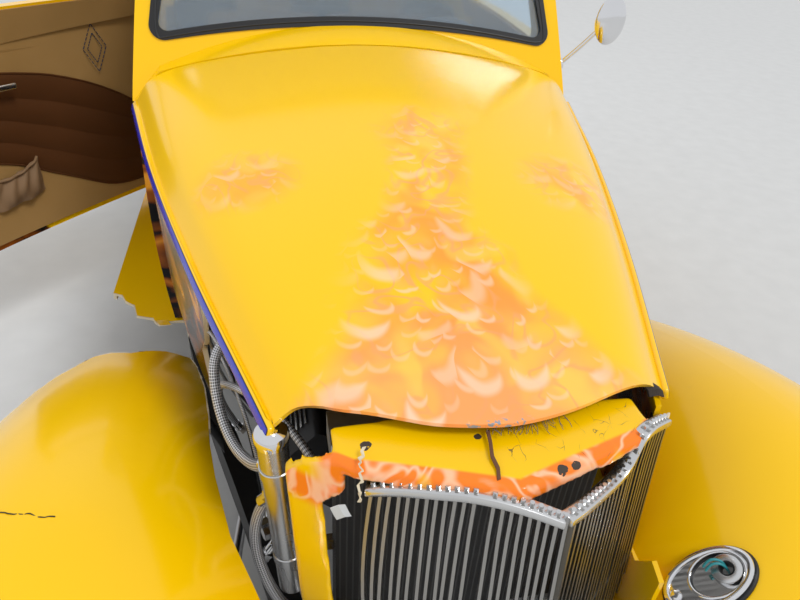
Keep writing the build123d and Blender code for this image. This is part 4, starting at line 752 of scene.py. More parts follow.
class Bench:
    """Modelling by operators: each method starts or changes the active piece."""

    @staticmethod
    def enter() -> None:
        """Enters edit mode with everything selected."""
        bpy.ops.object.mode_set(mode="EDIT")
        bpy.ops.mesh.select_all(action="SELECT")

    @staticmethod
    def leave() -> None:
        """Goes back to object mode."""
        bpy.ops.object.mode_set(mode="OBJECT")

    @staticmethod
    def settle() -> None:
        """Applies the place, turn and scale of the selected pieces."""
        bpy.ops.object.transform_apply(location=True, rotation=True, scale=True)

    @classmethod
    def clear(cls) -> None:
        """Deselects everything."""
        if bpy.context.object and bpy.context.object.mode != "OBJECT":
            cls.leave()
        bpy.ops.object.select_all(action="DESELECT")

    @classmethod
    def take(cls, piece: Piece) -> Piece:
        """Makes one piece the only selected and active one."""
        cls.clear()
        piece.select_set(True)
        bpy.context.view_layer.objects.active = piece
        return piece

    @staticmethod
    def named(name: str) -> Piece:
        """Names the piece that an operator has just added."""
        piece = bpy.context.object
        piece.name = name
        piece.data.name = name
        return piece

    @classmethod
    def cube(cls, name: str, centre: Point, size: Point) -> Piece:
        """Box at a place."""
        cls.clear()
        bpy.ops.mesh.primitive_cube_add(size=1.0, location=centre, scale=size)
        return cls.named(name)

    @classmethod
    def rod(cls, name: str, start: Point, end: Point, radius: float, sides: int = 24) -> Piece:
        """Round bar between two points.

        Args:
            name: Name of the piece.
            start: Middle of one end.
            end: Middle of the other.
            radius: Its radius.
            sides: Faces round it.

        Returns:
            The bar.
        """
        cls.clear()
        a, b = Vector(start), Vector(end)
        turn = (b - a).to_track_quat("Z", "Y").to_euler()
        bpy.ops.mesh.primitive_cylinder_add(
            vertices=sides, radius=radius, depth=(b - a).length, location=(a + b) / 2, rotation=turn
        )
        return cls.named(name)

    @classmethod
    def ball(cls, name: str, centre: Point, scale: Point, sides: int = 32) -> Piece:
        """Ellipsoid at a place.

        Args:
            name: Name of the piece.
            centre: Its middle.
            scale: Its three half sizes.
            sides: Faces round it.

        Returns:
            The ellipsoid.
        """
        cls.clear()
        bpy.ops.mesh.primitive_uv_sphere_add(
            segments=sides, ring_count=sides // 2, radius=1.0, location=centre, scale=scale
        )
        return cls.named(name)

    @classmethod
    def ring(cls, name: str, centre: Point, facing: Point, radius: float, wire: float) -> Piece:
        """Round ring of wire that faces a direction.

        Args:
            name: Name of the piece.
            centre: Its middle.
            facing: Direction that it faces.
            radius: Radius of its middle line.
            wire: Radius of its section.

        Returns:
            The ring.
        """
        cls.clear()
        turn = Vector(facing).to_track_quat("Z", "Y").to_euler()
        bpy.ops.mesh.primitive_torus_add(
            major_radius=radius, minor_radius=wire, major_segments=36, minor_segments=12, location=centre,
            rotation=turn
        )
        return cls.named(name)

    @classmethod
    def trace(cls, name: str, points: Sequence[Point]) -> Piece:
        """Open line through points, left in edit mode with its last point selected.

        Args:
            name: Name of the piece.
            points: Points of the line.

        Returns:
            The line.
        """
        cls.clear()
        bpy.ops.mesh.primitive_plane_add(size=0.01, location=(0, 0, 0))
        piece = cls.named(name)
        cls.enter()
        bpy.ops.mesh.merge(type="CENTER")
        bpy.ops.mesh.select_all(action="SELECT")
        bpy.ops.transform.translate(value=tuple(points[0]))
        for before, after in zip(points, points[1:]):
            step = tuple(b - a for a, b in zip(before, after))
            bpy.ops.mesh.extrude_region_move(TRANSFORM_OT_translate={"value": step})
        return piece

    @classmethod
    def ribbon(cls, name: str, points: Sequence[Point], steps: Sequence[Point], thick: float = 0.0) -> Piece:
        """Line through points pulled into strips.

        Args:
            name: Name of the piece.
            points: Points of the line.
            steps: Shift of each pull.
            thick: Thickness about the strip's middle, or nought for a bare sheet.

        Returns:
            The piece, in object mode.
        """
        piece = cls.trace(name, points)
        bpy.ops.mesh.select_all(action="SELECT")
        for step in steps:
            bpy.ops.mesh.extrude_region_move(TRANSFORM_OT_translate={"value": tuple(step)})
        cls.leave()
        return cls.thicken(piece, thick) if thick else piece

    @classmethod
    def sheet(cls, name: str, rows: Sequence[Sequence[Point]]) -> Piece:
        """Surface drawn out row by row from its first line.

        Args:
            name: Name of the piece.
            rows: Lines of points, each with the same count.

        Returns:
            The piece, in object mode.
        """
        piece = cls.trace(name, rows[0])
        count = len(rows[0])
        for row in rows[1:]:
            mesh = bmesh.from_edit_mesh(piece.data)
            mesh.verts.ensure_lookup_table()
            for vertex in mesh.verts:
                vertex.select = vertex.index >= len(mesh.verts) - count
            mesh.select_flush(True)
            bmesh.update_edit_mesh(piece.data)
            bpy.ops.mesh.extrude_region_move(TRANSFORM_OT_translate={"value": (0, 0, -0.001)})
            mesh = bmesh.from_edit_mesh(piece.data)
            mesh.verts.ensure_lookup_table()
            for vertex, goal in zip(list(mesh.verts)[-count:], row):
                vertex.co = Vector(goal)
            mesh.verts.index_update()
            bmesh.update_edit_mesh(piece.data)
        cls.leave()
        return piece

    @classmethod
    def face(cls, piece: Piece, towards: Point) -> Piece:
        """Turns an open sheet's faces to a direction.

        Args:
            piece: The sheet.
            towards: Direction that most faces look to.

        Returns:
            The sheet.
        """
        cls.take(piece)
        cls.enter()
        bpy.ops.mesh.normals_make_consistent(inside=False)
        cls.leave()
        if sum((face.normal.dot(Vector(towards)) for face in piece.data.polygons), 0.0) < 0:
            cls.enter()
            bpy.ops.mesh.flip_normals()
            cls.leave()
        return piece

    @classmethod
    def lathe(cls, name: str, profile: Sequence[tuple[float, float]], centre: Point = (0, 0, 0),
              axis: Point = (0, 0, 1), steps: int = SEGMENTS) -> Piece:
        """Profile of radius and distance along an axis, spun a full turn.

        Args:
            name: Name of the piece.
            profile: Pairs of radius and distance along the axis.
            centre: Point on the axis where the distance is nought.
            axis: Direction of the axis.
            steps: Number of faces round it.

        Returns:
            The piece, in object mode.
        """
        along = Vector(axis).normalized()
        out = along.orthogonal().normalized()
        middle = Vector(centre)
        points = [middle + out * r + along * d for r, d in profile]
        piece = cls.trace(name, points)
        bpy.ops.mesh.select_all(action="SELECT")
        bpy.ops.mesh.spin(steps=steps, angle=2 * math.pi, center=middle, axis=along)
        bpy.ops.mesh.select_all(action="SELECT")
        bpy.ops.mesh.remove_doubles(threshold=0.00002)
        bpy.ops.mesh.normals_make_consistent(inside=False)
        cls.leave()
        return piece

    @classmethod
    def cable(cls, name: str, points: Sequence[Point], radius: float, sides: int = 6) -> Piece:
        """Smooth round tube along points, as a mesh.

        Args:
            name: Name of the piece.
            points: Points that pull the curve; it starts and ends on the outer ones.
            radius: Radius of the tube.
            sides: Fineness of its section.

        Returns:
            The tube, with a UV map along it.
        """
        cls.clear()
        curve = bpy.data.curves.new(name, "CURVE")
        curve.dimensions = "3D"
        curve.bevel_depth = radius
        curve.bevel_resolution = sides // 2
        curve.resolution_u = 12
        curve.use_fill_caps = True
        spline = curve.splines.new("NURBS")
        spline.points.add(len(points) - 1)
        for knot, point in zip(spline.points, points):
            knot.co = (*point, 1.0)
        spline.order_u = 3
        spline.use_endpoint_u = True
        piece = bpy.data.objects.new(name, curve)
        bpy.context.scene.collection.objects.link(piece)
        cls.take(piece)
        bpy.ops.object.convert(target="MESH")
        return bpy.context.object

    @classmethod
    def modify(cls, piece: Piece, kind: str, **settings: object) -> Piece:
        """Adds one modifier and applies it.

        Args:
            piece: The piece.
            kind: The modifier's type.
            settings: Its settings.

        Returns:
            The piece.
        """
        cls.take(piece)
        modifier = piece.modifiers.new(kind, kind)
        for key, value in settings.items():
            setattr(modifier, key, value)
        bpy.ops.object.modifier_apply(modifier=modifier.name)
        return piece

    @classmethod
    def thicken(cls, piece: Piece, thickness: float, offset: float = 0.0) -> Piece:
        """Gives a sheet its thickness, about its middle or to one side."""
        return cls.modify(piece, "SOLIDIFY", thickness=thickness, offset=offset)

    @classmethod
    def bevel(cls, piece: Piece, width: float, segments: int = 2) -> Piece:
        """Rounds the sharp edges."""
        cls.settle()
        return cls.modify(piece, "BEVEL", width=width, segments=segments, limit_method="ANGLE")

    @classmethod
    def join(cls, name: str, pieces: Iterable[Piece]) -> Piece:
        """Joins pieces into one.

        Args:
            name: Name of the whole.
            pieces: Its parts.

        Returns:
            The whole.
        """
        parts = list(pieces)
        cls.clear()
        for part in parts:
            part.select_set(True)
        bpy.context.view_layer.objects.active = parts[0]
        if len(parts) > 1:
            bpy.ops.object.join()
        return cls.named(name)

    @staticmethod
    def copy(piece: Piece, name: str) -> Piece:
        """Copy with its own mesh and no ties."""
        twin = bpy.data.objects.new(name, piece.data.copy())
        twin.data.name = name
        bpy.context.scene.collection.objects.link(twin)
        return twin

    @classmethod
    def merged(cls, piece: Piece, name: str) -> Piece:
        """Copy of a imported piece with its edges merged, left in edit mode."""
        twin = cls.take(cls.copy(piece, name))
        cls.enter()
        bpy.ops.mesh.remove_doubles(threshold=MERGE_GAP)
        return twin

    @classmethod
    def swung(cls, piece: Piece, name: str) -> Piece:
        """Copy of a left door's piece, mirrored and turned with the open right door.

        Args:
            piece: Piece on the left door.
            name: Name of the copy.

        Returns:
            The copy.
        """
        twin = cls.take(cls.copy(piece, name))
        cls.enter()
        bpy.ops.transform.resize(value=(-1, 1, 1), center_override=(0, 0, 0))
        bpy.ops.mesh.flip_normals()
        cls.leave()
        pivot = Matrix.Translation((*DOOR_HINGE, 0))
        twin.data.transform(pivot @ Matrix.Rotation(-DOOR_OPEN, 4, "Z") @ pivot.inverted())
        return twin

    @classmethod
    def finish(cls, piece: Piece, finish: Recipe, body: str, slot: str, smooth: float = 35.0) -> Piece:
        """Applies the place, shades, paints and mounts one piece.

        Args:
            piece: The piece.
            finish: Its finish.
            body: Body that it rides on.
            slot: Not used.
            smooth: Angle in degrees under which edges are smooth.

        Returns:
            The piece.
        """
        cls.take(piece)
        cls.settle()
        if smooth:
            bpy.ops.object.shade_smooth_by_angle(angle=math.radians(smooth))
        piece.data.materials.clear()
        piece.data.materials.append(PAINTS.get(finish))
        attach(piece, body)
        log.info("%s rides on %s", piece.name, body)
        return piece

    @classmethod
    def group(cls, name: str, pieces: Iterable[Piece], finish: Recipe, body: str, slot: str,
              smooth: float = 35.0) -> Piece:
        """Joins pieces into one and finishes it."""
        return cls.finish(cls.join(name, pieces), finish, body, slot, smooth)


def jagged(points: Sequence[Point], seed: int, reach: float, pieces: int) -> list[Vector]:
    """Points of a torn line: each run is divided and its inner points are shifted at random.

    Args:
        points: Corners of the line, in metres.
        seed: Seed of the random shifts.
        reach: Largest shift.
        pieces: Number of parts in each run.

    Returns:
        Points of the torn line.
    """
    draw = random.Random(seed)
    line = [Vector(points[0])]
    for a, b in zip(points, points[1:]):
        start, end = Vector(a), Vector(b)
        for index in range(1, pieces + 1):
            spot = start.lerp(end, index / pieces)
            if index < pieces:
                spot = spot + Vector([draw.uniform(-reach, reach) for _ in range(3)])
            line.append(spot)
    return line


def through(table: Sequence[Sequence[float]], at: float) -> list[float]:
    """Row of a table read between its rows along smooth curves.

    Args:
        table: Rows that start with their place, in rising order.
        at: Place to read at.

    Returns:
        The other values of the row at that place.
    """
    keys = [row[0] for row in table]
    place = min(max(at, keys[0]), keys[-1])
    index = max(i for i in range(len(keys) - 1) if keys[i] <= place)
    span = keys[index + 1] - keys[index]
    t = (place - keys[index]) / span
    values = []
    for column in range(1, len(table[0])):
        line = [row[column] for row in table]
        slopes = []
        for i in (index, index + 1):
            low, high = max(0, i - 1), min(len(keys) - 1, i + 1)
            slopes.append((line[high] - line[low]) / (keys[high] - keys[low]) * span)
        a, b = line[index], line[index + 1]
        first, last = slopes
        square, cube = 3 * (b - a) - 2 * first - last, 2 * (a - b) + first + last
        values.append(a + first * t + square * t ** 2 + cube * t ** 3)
    return values


# The studio, then the car's sub-assemblies.


@dataclass
class Studio:
    """Pale floor, soft light and the camera at the photograph's angle."""

    eye: Point = (-0.2558, -0.4267, 1.5096)
    azimuth: float = 0.2296
    elevation: float = -0.5915
    roll: float = 0.0666
    focal_pixels: float = 628.8
    image_width: float = 800.0
    sensor: float = 36.0
    floor_size: float = 40.0
    aim: Point = (0.0, 1.0, 0.7)
    lamps: tuple[tuple[str, Point, float, float], ...] = (
        ("fill_lamp", (-4.6, -0.5, 2.6), 3.4, 26.0), ("back_lamp", (-1.5, 6.5, 4.0), 3.5, 60.0),
        ("low_lamp", (0.5, -4.5, 1.4), 3.0, 12.0)
    )

    @staticmethod
    def _lamp(name: str, kind: str, power: float, towards: Point) -> Piece:
        """Lamp of a kind that shines in a direction.

        Args:
            name: Name of the lamp.
            kind: Kind of the light.
            power: Its strength.
            towards: Where it shines.

        Returns:
            The lamp, linked to the scene.
        """
        light = bpy.data.lights.new(name, kind)
        light.energy = power
        lamp = bpy.data.objects.new(name, light)
        lamp.rotation_euler = Vector(towards).to_track_quat("-Z", "Y").to_euler()
        bpy.context.scene.collection.objects.link(lamp)
        return lamp

    def build(self) -> None:
        """Adds floor, world, lamps and camera."""
        Bench.clear()
        bpy.ops.mesh.primitive_plane_add(size=self.floor_size, location=(0, 1.5, 0))
        floor = Bench.named("studio_floor")
        floor.data.materials.append(PAINTS.get(Finish("floor_pale", (0.6, 0.6, 0.59), rough=0.85)))
        world = bpy.data.worlds.new("soft_sky")
        bpy.context.scene.world = world
        world.use_nodes = True
        background = world.node_tree.nodes["Background"]
        background.inputs["Color"].default_value = (0.95, 0.97, 1.0, 1.0)
        background.inputs["Strength"].default_value = 0.8
        sun = self._lamp("soft_sun", "SUN", 1.35, (-0.38, 0.42, -0.82))
        sun.data.angle = math.radians(16.0)
        for name, place, size, power in self.lamps:
            lamp = self._lamp(name, "AREA", power, Vector(self.aim) - Vector(place))
            lamp.data.size = size
            lamp.location = place
            lamp.visible_glossy = False
        self._camera()
        bpy.context.scene.view_settings.view_transform = "Standard"

    def _camera(self) -> None:
        """Camera solved from the photograph."""
        az, el, roll = self.azimuth, self.elevation, self.roll
        look = Vector((math.sin(az) * math.cos(el), math.cos(az) * math.cos(el), math.sin(el)))
        right = Vector((math.cos(az), -math.sin(az), 0.0))
        up = right.cross(look)
        turned_right = right * math.cos(roll) + up * math.sin(roll)
        turned_up = up * math.cos(roll) - right * math.sin(roll)
        data = bpy.data.cameras.new("camera")
        data.sensor_width = self.sensor
        data.lens = self.focal_pixels / self.image_width * self.sensor
        data.clip_start = 0.02
        camera = bpy.data.objects.new("camera", data)
        frame = Matrix((turned_right, turned_up, -look)).transposed().to_4x4()
        frame.translation = Vector(self.eye)
        camera.matrix_world = frame
        bpy.context.scene.collection.objects.link(camera)
        bpy.context.scene.camera = camera


@dataclass
class CadFinishes:
    """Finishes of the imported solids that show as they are."""

    nodes: dict[str, Piece]

    def dress(self) -> None:
        """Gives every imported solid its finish."""
        side = SidePaint("side_paint")
        open_side = SidePaint("open_door_paint", turn=DOOR_OPEN, pivot=DOOR_HINGE)
        fender = PanelPaint(
            "fender_paint", cracked=(((-0.86, 0.02, 0.62), 0.1), ((-0.8, 0.31, 0.7), 0.07)),
            chipped=(((-0.3, -0.03, 0.68), 0.03),)
        )
        plain = PanelPaint("body_paint")
        finishes: dict[str, Recipe] = {
            "body_shell": side, "hood_sides": side, "door_left": side, "door_right": open_side,
            "hood_top": FlamePaint(), "front_fender_left": fender, "front_fender_right": fender,
            "running_board_right": fender, "rear_fenders": plain, "deck_lid": plain,
            "grille_shell": SHELL_PAINT, "grille_insert": WORN_CHROME, "door_trim_left": TAN,
            "door_trim_right": TAN, "seat": TAN, "dashboard": BROWN, "steering_wheel": GREY_RIM,
            "glazing": GLASS, "windscreen_gasket": GASKET, "floor_and_firewall": FLOOR_BLACK,
            "frame_rails": BLACK_PAINT, "cross_members": BLACK_PAINT, "rear_axle": BLACK_PAINT,
            "fuel_tank": BLACK_PAINT, "front_axle": WORN_CHROME, "track_rod": WORN_CHROME,
            "overflow_tank": WORN_CHROME, "front_suspension": STEEL, "rear_suspension": STEEL,
            "knuckle_left": STEEL, "knuckle_right": STEEL, "engine": IRON, "engine_covers": DARK_ALLOY,
            "exhausts": EXHAUST, "radiator": CoreFinish(), "mirror": CHROME, "headlamp_bases": CHROME,
            "tail_lamps": LENS, "hoses": WIRE_BLACK,
        }
        for name, piece in self.nodes.items():
            if name.startswith("wheel_"):
                finishes[name] = POLISHED
            if name.startswith("tyre_"):
                finishes[name] = WIRE_BLACK
            piece.data.materials.clear()
            piece.data.materials.append(PAINTS.get(finishes[name]))
            log.info("%s dressed", name)


@dataclass
class GrilleInsert:
    """Bent insert of upright bars, knocked to the car's left, with its top bar and the bars' tips."""

    left_wing: tuple[tuple[float, float, float, float], ...] = (
        (0.0, 0.047, -0.026, 0.916), (0.18, 0.008, -0.012, 0.928), (0.33, -0.025, 0.001, 0.933),
        (0.47, -0.057, 0.013, 0.934), (0.61, -0.089, 0.024, 0.931), (0.8, -0.132, 0.04, 0.925),
        (0.895, -0.154, 0.047, 0.921), (1.0, -0.178, 0.056, 0.914)
    )
    right_wing: tuple[tuple[float, float, float, float], ...] = (
        (0.0, 0.047, -0.026, 0.918), (0.1, 0.072, -0.012, 0.913), (0.31, 0.114, 0.016, 0.901),
        (0.46, 0.146, 0.037, 0.897), (0.555, 0.166, 0.05, 0.908), (0.62, 0.176, 0.058, 0.936),
        (0.7, 0.194, 0.069, 0.943), (0.8, 0.215, 0.083, 0.935), (1.0, 0.257, 0.11, 0.914)
    )
    top_z: float = 0.915
    foot_z: float = 0.456
    lean: float = 0.125
    pitch: float = 0.0106
    width: float = 0.0042
    depth: float = 0.012
    reach: float = 0.965
    missing: tuple[int, ...] = (9,)

    def _spot(self, wing: Sequence[Sequence[float]], share: float, z: float | None = None) -> Vector:
        """Point of a wing at a share of its length: on its bent top, or straight below that at a height.

        Args:
            wing: Table of the wing.
            share: Place along the wing.
            z: Height, or none for the top.

        Returns:
            The point.
        """
        x, y, top = through(wing, share)
        if z is None:
            return Vector((x, y, top))
        straight = share * (wing[-1][1] - wing[0][1]) + wing[0][1]
        low = min(1.0, (top - z) / 0.2)
        return Vector((x + (straight - x) * low, y + (z - self.top_z) * self.lean, z))

    def _foot(self, share: float) -> float:
        """Lowest height of a bar."""
        return max(self.foot_z, 0.39 + (0.262 * share - 0.17) / 0.081 * 0.264)

    def _bar(self, wing: Sequence[Sequence[float]], share: float, bend: float, splay: float) -> Piece:
        """One bar: a flat section pulled down in steps, each shifted sideways by its bend.

        Args:
            wing: Table of the wing.
            share: Place along the wing.
            bend: Sideways bulge at mid height.
            splay: Sideways shift of the foot.

        Returns:
            The bar.
        """
        head = self._spot(wing, share) + Vector((0, 0, 0.006))
        direction = Vector((wing[-1][1] - wing[0][1], wing[-1][2] - wing[0][2], 0.0)).normalized()
        steps = 8
        goals = []
        for index in range(1, steps + 1):
            part = index / steps
            spot = self._spot(wing, share, head.z + (self._foot(share) - head.z) * part)
            goals.append(spot + direction * (bend * math.sin(math.pi * part) + splay * part * part))
        Bench.clear()
        bpy.ops.mesh.primitive_plane_add(size=1.0, location=(0, 0, 0))
        bar = Bench.named("bar")
        Bench.enter()
        bpy.ops.transform.resize(value=(self.width, self.depth, 1.0))
        Bench.leave()
        bar.data.transform(Matrix.Rotation(math.atan2(direction.y, direction.x), 4, "Z"))
        bar.data.transform(Matrix.Translation(head))
        Bench.enter()
        for before, goal in zip([head, *goals], goals):
            bpy.ops.mesh.extrude_region_move(TRANSFORM_OT_translate={"value": tuple(goal - before)})
        bpy.ops.mesh.select_all(action="SELECT")
        bpy.ops.mesh.normals_make_consistent(inside=False)
        Bench.leave()
        return bar

    def build(self) -> None:
        """Makes bars, top bar and tips."""
        draw = random.Random(7)
        bars, tips, top, ties = [], [], [], []
        for side, wing in enumerate((self.left_wing, self.right_wing)):
            length = math.dist(wing[0][1:3], wing[-1][1:3])
            count = int(length * self.reach / self.pitch)
            for index in range(count + 1):
                if side == 0 and index in self.missing or side == 1 and index == 0:
                    continue
                share = index * self.pitch / length
                bend = draw.uniform(-0.0022, 0.0022)
                splay = draw.uniform(-0.002, 0.002)
                if side == 0 and index > 8:
                    bend += 0.009 * (index - 8) / 12
                    splay += 0.004
                bars.append(self._bar(wing, share, bend, splay))
                spot = self._spot(wing, share)
                tips.append(Bench.rod("tip", spot, spot + Vector((0, 0, 0.0105)), 0.003, 8))
            shares = [-0.02 + (self.reach + 0.02) * i / 26 for i in range(27)]
            points = [self._spot(wing, share) - Vector((0, 0, 0.007)) for share in shares]
            top.append(Bench.bevel(Bench.ribbon("top", points, ((0, 0, 0.0125),), 0.019), 0.0026))
            for z, share in ((0.663, self.reach - 0.01), (self.foot_z + 0.004, 0.72)):
                line = [self._spot(wing, share * i / 8, z) for i in range(9)]
                ties.append(Bench.cable("tie", line, 0.0032, 10))
        slats = Bench.join("grille_bars", bars + ties)
        Bench.finish(slats, BAR_CHROME, "car", "chrome", smooth=20)
        rail = Bench.join("grille_top_bar", top + tips)
        Bench.finish(rail, POLISHED, "car", "chrome")
        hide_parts("grille_insert")
        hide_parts("grille_insert")


@dataclass
class HoodPanel:
    """Hood's top with rounded shoulders and a bent lip, its beads, arms and rib."""

    rows: tuple[tuple[float, ...], ...] = (
        (0.07, 0.246, 0.917, 0.196, 0.965, 0.975), (0.14, 0.268, 0.923, 0.216, 0.971, 0.981),
        (0.5, 0.387, 0.951, 0.332, 1.011, 1.042), (0.87, 0.492, 0.979, 0.432, 1.05, 1.101),
        (1.234, 0.574, 1.007, 0.508, 1.082, 1.152)
    )
    lip: tuple[tuple[float, float], ...] = (
        (-1.0, 0.159), (-0.9, 0.16), (-0.8, 0.146), (-0.72, 0.131), (-0.58, 0.116), (-0.47, 0.103),
        (-0.33, 0.088), (-0.12, 0.077), (0.05, 0.074), (0.22, 0.079), (0.42, 0.092), (0.66, 0.116),
        (0.85, 0.136), (1.0, 0.15)
    )
    rear: float = 1.234
    skin: float = 0.006
    pivot: tuple[float, float] = (1.334, 1.124)
    arm_x: float = 0.09

    def spot(self, t: float, y: float) -> tuple[float, float, float]:
        """Point of the outside.

        Args:
            t: Place across, from nought at the right edge to one at the left.
            y: Distance along the car.

        Returns:
            The point, on a smooth curve held by the section's corners.
        """
        belt_x, belt_z, shoulder_x, shoulder_z, crown_z = through(self.rows, y)
        rise = crown_z - shoulder_z
        side_x, side_z = 0.55 * shoulder_x, shoulder_z + 0.6975 * rise
        full = 0.2 * min(1.0, max(0.0, (y - 0.3) / 0.9))
        corner_x = shoulder_x + full * (shoulder_x - (belt_x + side_x) / 2)
        corner_z = shoulder_z + full * (shoulder_z - (belt_z + side_z) / 2)
        half = [(belt_x, belt_z), (belt_x, belt_z), (corner_x, corner_z), (side_x, side_z)]
        hull = [(-x, z) for x, z in half] + [(0.0, crown_z + 0.08 * rise)] + half[::-1]
        place = min(t * 7, 6.9999)
        index, u = int(place), place % 1.0
        weights = ((1 - u) ** 2 / 2, (1 + 2 * u * (1 - u)) / 2, u * u / 2)
        x = sum(w * p[0] for w, p in zip(weights, hull[index:index + 3]))
        z = sum(w * p[1] for w, p in zip(weights, hull[index:index + 3]))
        return (x, y, z)

    def build(self) -> None:
        """Makes panel, beads, arms and rib."""
        rows = []
        for step in range(33):
            share = (step / 32) ** 1.35
            row = []
            for column in range(57):
                t = column / 56
                start = through(self.lip, self.spot(t, 0.12)[0] / 0.262)[0]
                row.append(self.spot(t, start + (self.rear - start) * share))
            rows.append(row)
        panel = Bench.face(Bench.sheet("hood_panel", rows), (0, 0, 1))
        Bench.thicken(panel, self.skin, -1.0)
        Bench.finish(panel, FlamePaint(), "hood", "body_paint", smooth=50)
        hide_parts("hood_top")
        for side in Side:
            line = []
            for index in range(25):
                y = 0.15 + (self.rear - 0.152) * index / 24
                belt_x, belt_z = through(self.rows, y)[:2]
                line.append((side.value * (belt_x + 0.002), y, belt_z + 0.004))
            bead = Bench.ribbon(f"hood_bead_{side.word}", line, ((side.value * 0.0065, 0.0, -0.021),), 0.012)
            Bench.bevel(bead, 0.0055, 4)
            Bench.finish(bead, BeadPaint(), "hood", "body_paint", smooth=60)
            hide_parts("hood_top")
        frame = []
        back, up = self.pivot
        for side in Side:
            x = side.value * self.arm_x
            points = ((x, back, up), (x, back - 0.045, up - 0.045), (x, back - 0.08, up - 0.07),
                      (x, back - 0.12, up - 0.062), (x, back - 0.15, up - 0.04), (x, 1.166, 1.136))
            frame.append(Bench.cable("arm", points, 0.009, 12))
            frame.append(Bench.rod("eye", (x - 0.012, back, up), (x + 0.012, back, up), 0.014, 24))
        line = [Vector(self.spot(0.25 + 0.5 * i / 12, 0.185)) - Vector((0, 0, 0.011)) for i in range(13)]
        frame.append(Bench.ribbon("rib", line, ((0, 0.03, 0.004),), 0.008))
        iron = Bench.join("hood_frame", frame)
        Bench.finish(iron, BLACK_PAINT, "hood", "body_paint")
        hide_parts("hood_top")


@dataclass
class SoftPanel:
    """Copy of a packed panel, its hard edges melted round like laid-up laminate."""

    nodes: dict[str, Piece]
    node: str
    finish: PanelPaint
    grain: float = 0.004
    passes: int = 10
    kept: float = 0.35

    def build(self) -> None:
        """Makes the copy: merged, meshed evenly, smoothed and thinned out."""
        piece = Bench.merged(self.nodes[self.node], self.node + "_rounded")
        Bench.leave()
        Bench.modify(piece, "REMESH", mode="VOXEL", voxel_size=self.grain)
        Bench.modify(piece, "SMOOTH", factor=0.6, iterations=self.passes)
        Bench.modify(piece, "DECIMATE", ratio=self.kept)
        Bench.finish(piece, self.finish, "car", "body_paint", smooth=60)
        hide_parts(self.node)


@dataclass
class BrokenEdges:
    """Pale fibreglass along the tears: copies of the cut faces, roughened and given thickness."""

    nodes: dict[str, Piece]

    def _band(self, node: str, name: str, keep: Callable[[Vector, Vector], bool], push: float) -> None:
        """Copies the cut faces of a node.

        Args:
            node: Node whose cut shows.
            name: Name of the new piece.
            keep: Test of a face's centre and normal.
            push: Thickness that is added.
        """
        piece = Bench.merged(self.nodes[node], name)
        bpy.ops.mesh.select_all(action="DESELECT")
        mesh = bmesh.from_edit_mesh(piece.data)
        for face in mesh.faces:
            face.select = not keep(face.calc_center_median(), face.normal)
        bmesh.update_edit_mesh(piece.data)
        bpy.ops.mesh.delete(type="FACE")
        bpy.ops.mesh.select_all(action="SELECT")
        bpy.ops.mesh.subdivide(number_cuts=2)
        Bench.leave()
        if not piece.data.polygons:
            log.warning("%s has no faces", name)
            bpy.data.objects.remove(piece)
            return
        Bench.thicken(piece, push, 1.0)
        rough = bpy.data.textures.new("torn_grain", "CLOUDS")
        rough.noise_scale = 0.012
        Bench.modify(piece, "DISPLACE", texture=rough, strength=0.0045, texture_coords="GLOBAL")
        Bench.finish(piece, FIBRE, "car", "body_paint", smooth=20)

    def build(self) -> None:
        """Makes the pale edges of the torn fender, board and hood side."""
        def cut(centre: Vector, normal: Vector) -> bool:
            """Whether a face belongs to the fender's rear tear."""
            return abs(normal.z) < 0.25 and centre.y > 0.44 and centre.z > 0.35

        self._band("front_fender_right", "fender_tear", cut, 0.0022)
        self._band("running_board_right", "board_tear",
                   lambda centre, normal: abs(normal.z) < 0.3 and centre.y < 1.46, 0.0022)
        self._band("hood_sides", "hood_side_tear",
                   lambda centre, normal: centre.x < 0 and centre.y < 0.615 and abs(normal.x) < 0.5, 0.0015)


@dataclass
class Shards:
    """Torn strips of laminate on the grille shell and at the hood's lip."""

    tears: tuple[tuple[str, tuple[Point, ...], Point, int], ...] = (
        ("shell_tear_right", ((-0.171, 0.078, 0.957), (-0.176, 0.058, 0.955), (-0.178, 0.04, 0.946),
                              (-0.181, 0.034, 0.93), (-0.182, 0.036, 0.914)), (0.0025, -0.001, 0.001), 3),
        ("shell_tear_left", ((0.176, 0.052, 0.93), (0.2, 0.07, 0.934), (0.225, 0.088, 0.936),
                             (0.245, 0.104, 0.93), (0.262, 0.118, 0.915)), (-0.003, -0.005, -0.006), 5),
        ("rail_tear_left", ((0.262, 0.124, 0.9), (0.259, 0.126, 0.87), (0.255, 0.124, 0.835)),
         (-0.006, -0.005, 0.0), 9),
    )

    def build(self) -> None:
        """Makes each strip: a torn line pulled sideways and given thickness."""
        for name, line, step, seed in self.tears:
            points = jagged(line, seed, 0.0035, 4)
            strip = Bench.ribbon(name, points, (step,))
            draw = random.Random(seed + 100)
            half = len(strip.data.vertices) // 2
            for vertex in list(strip.data.vertices)[half:]:
                vertex.co += Vector([draw.uniform(-0.002, 0.002) for _ in range(3)])
            Bench.thicken(strip, 0.0018)
            Bench.finish(strip, FIBRE, "car", "body_paint", smooth=0)


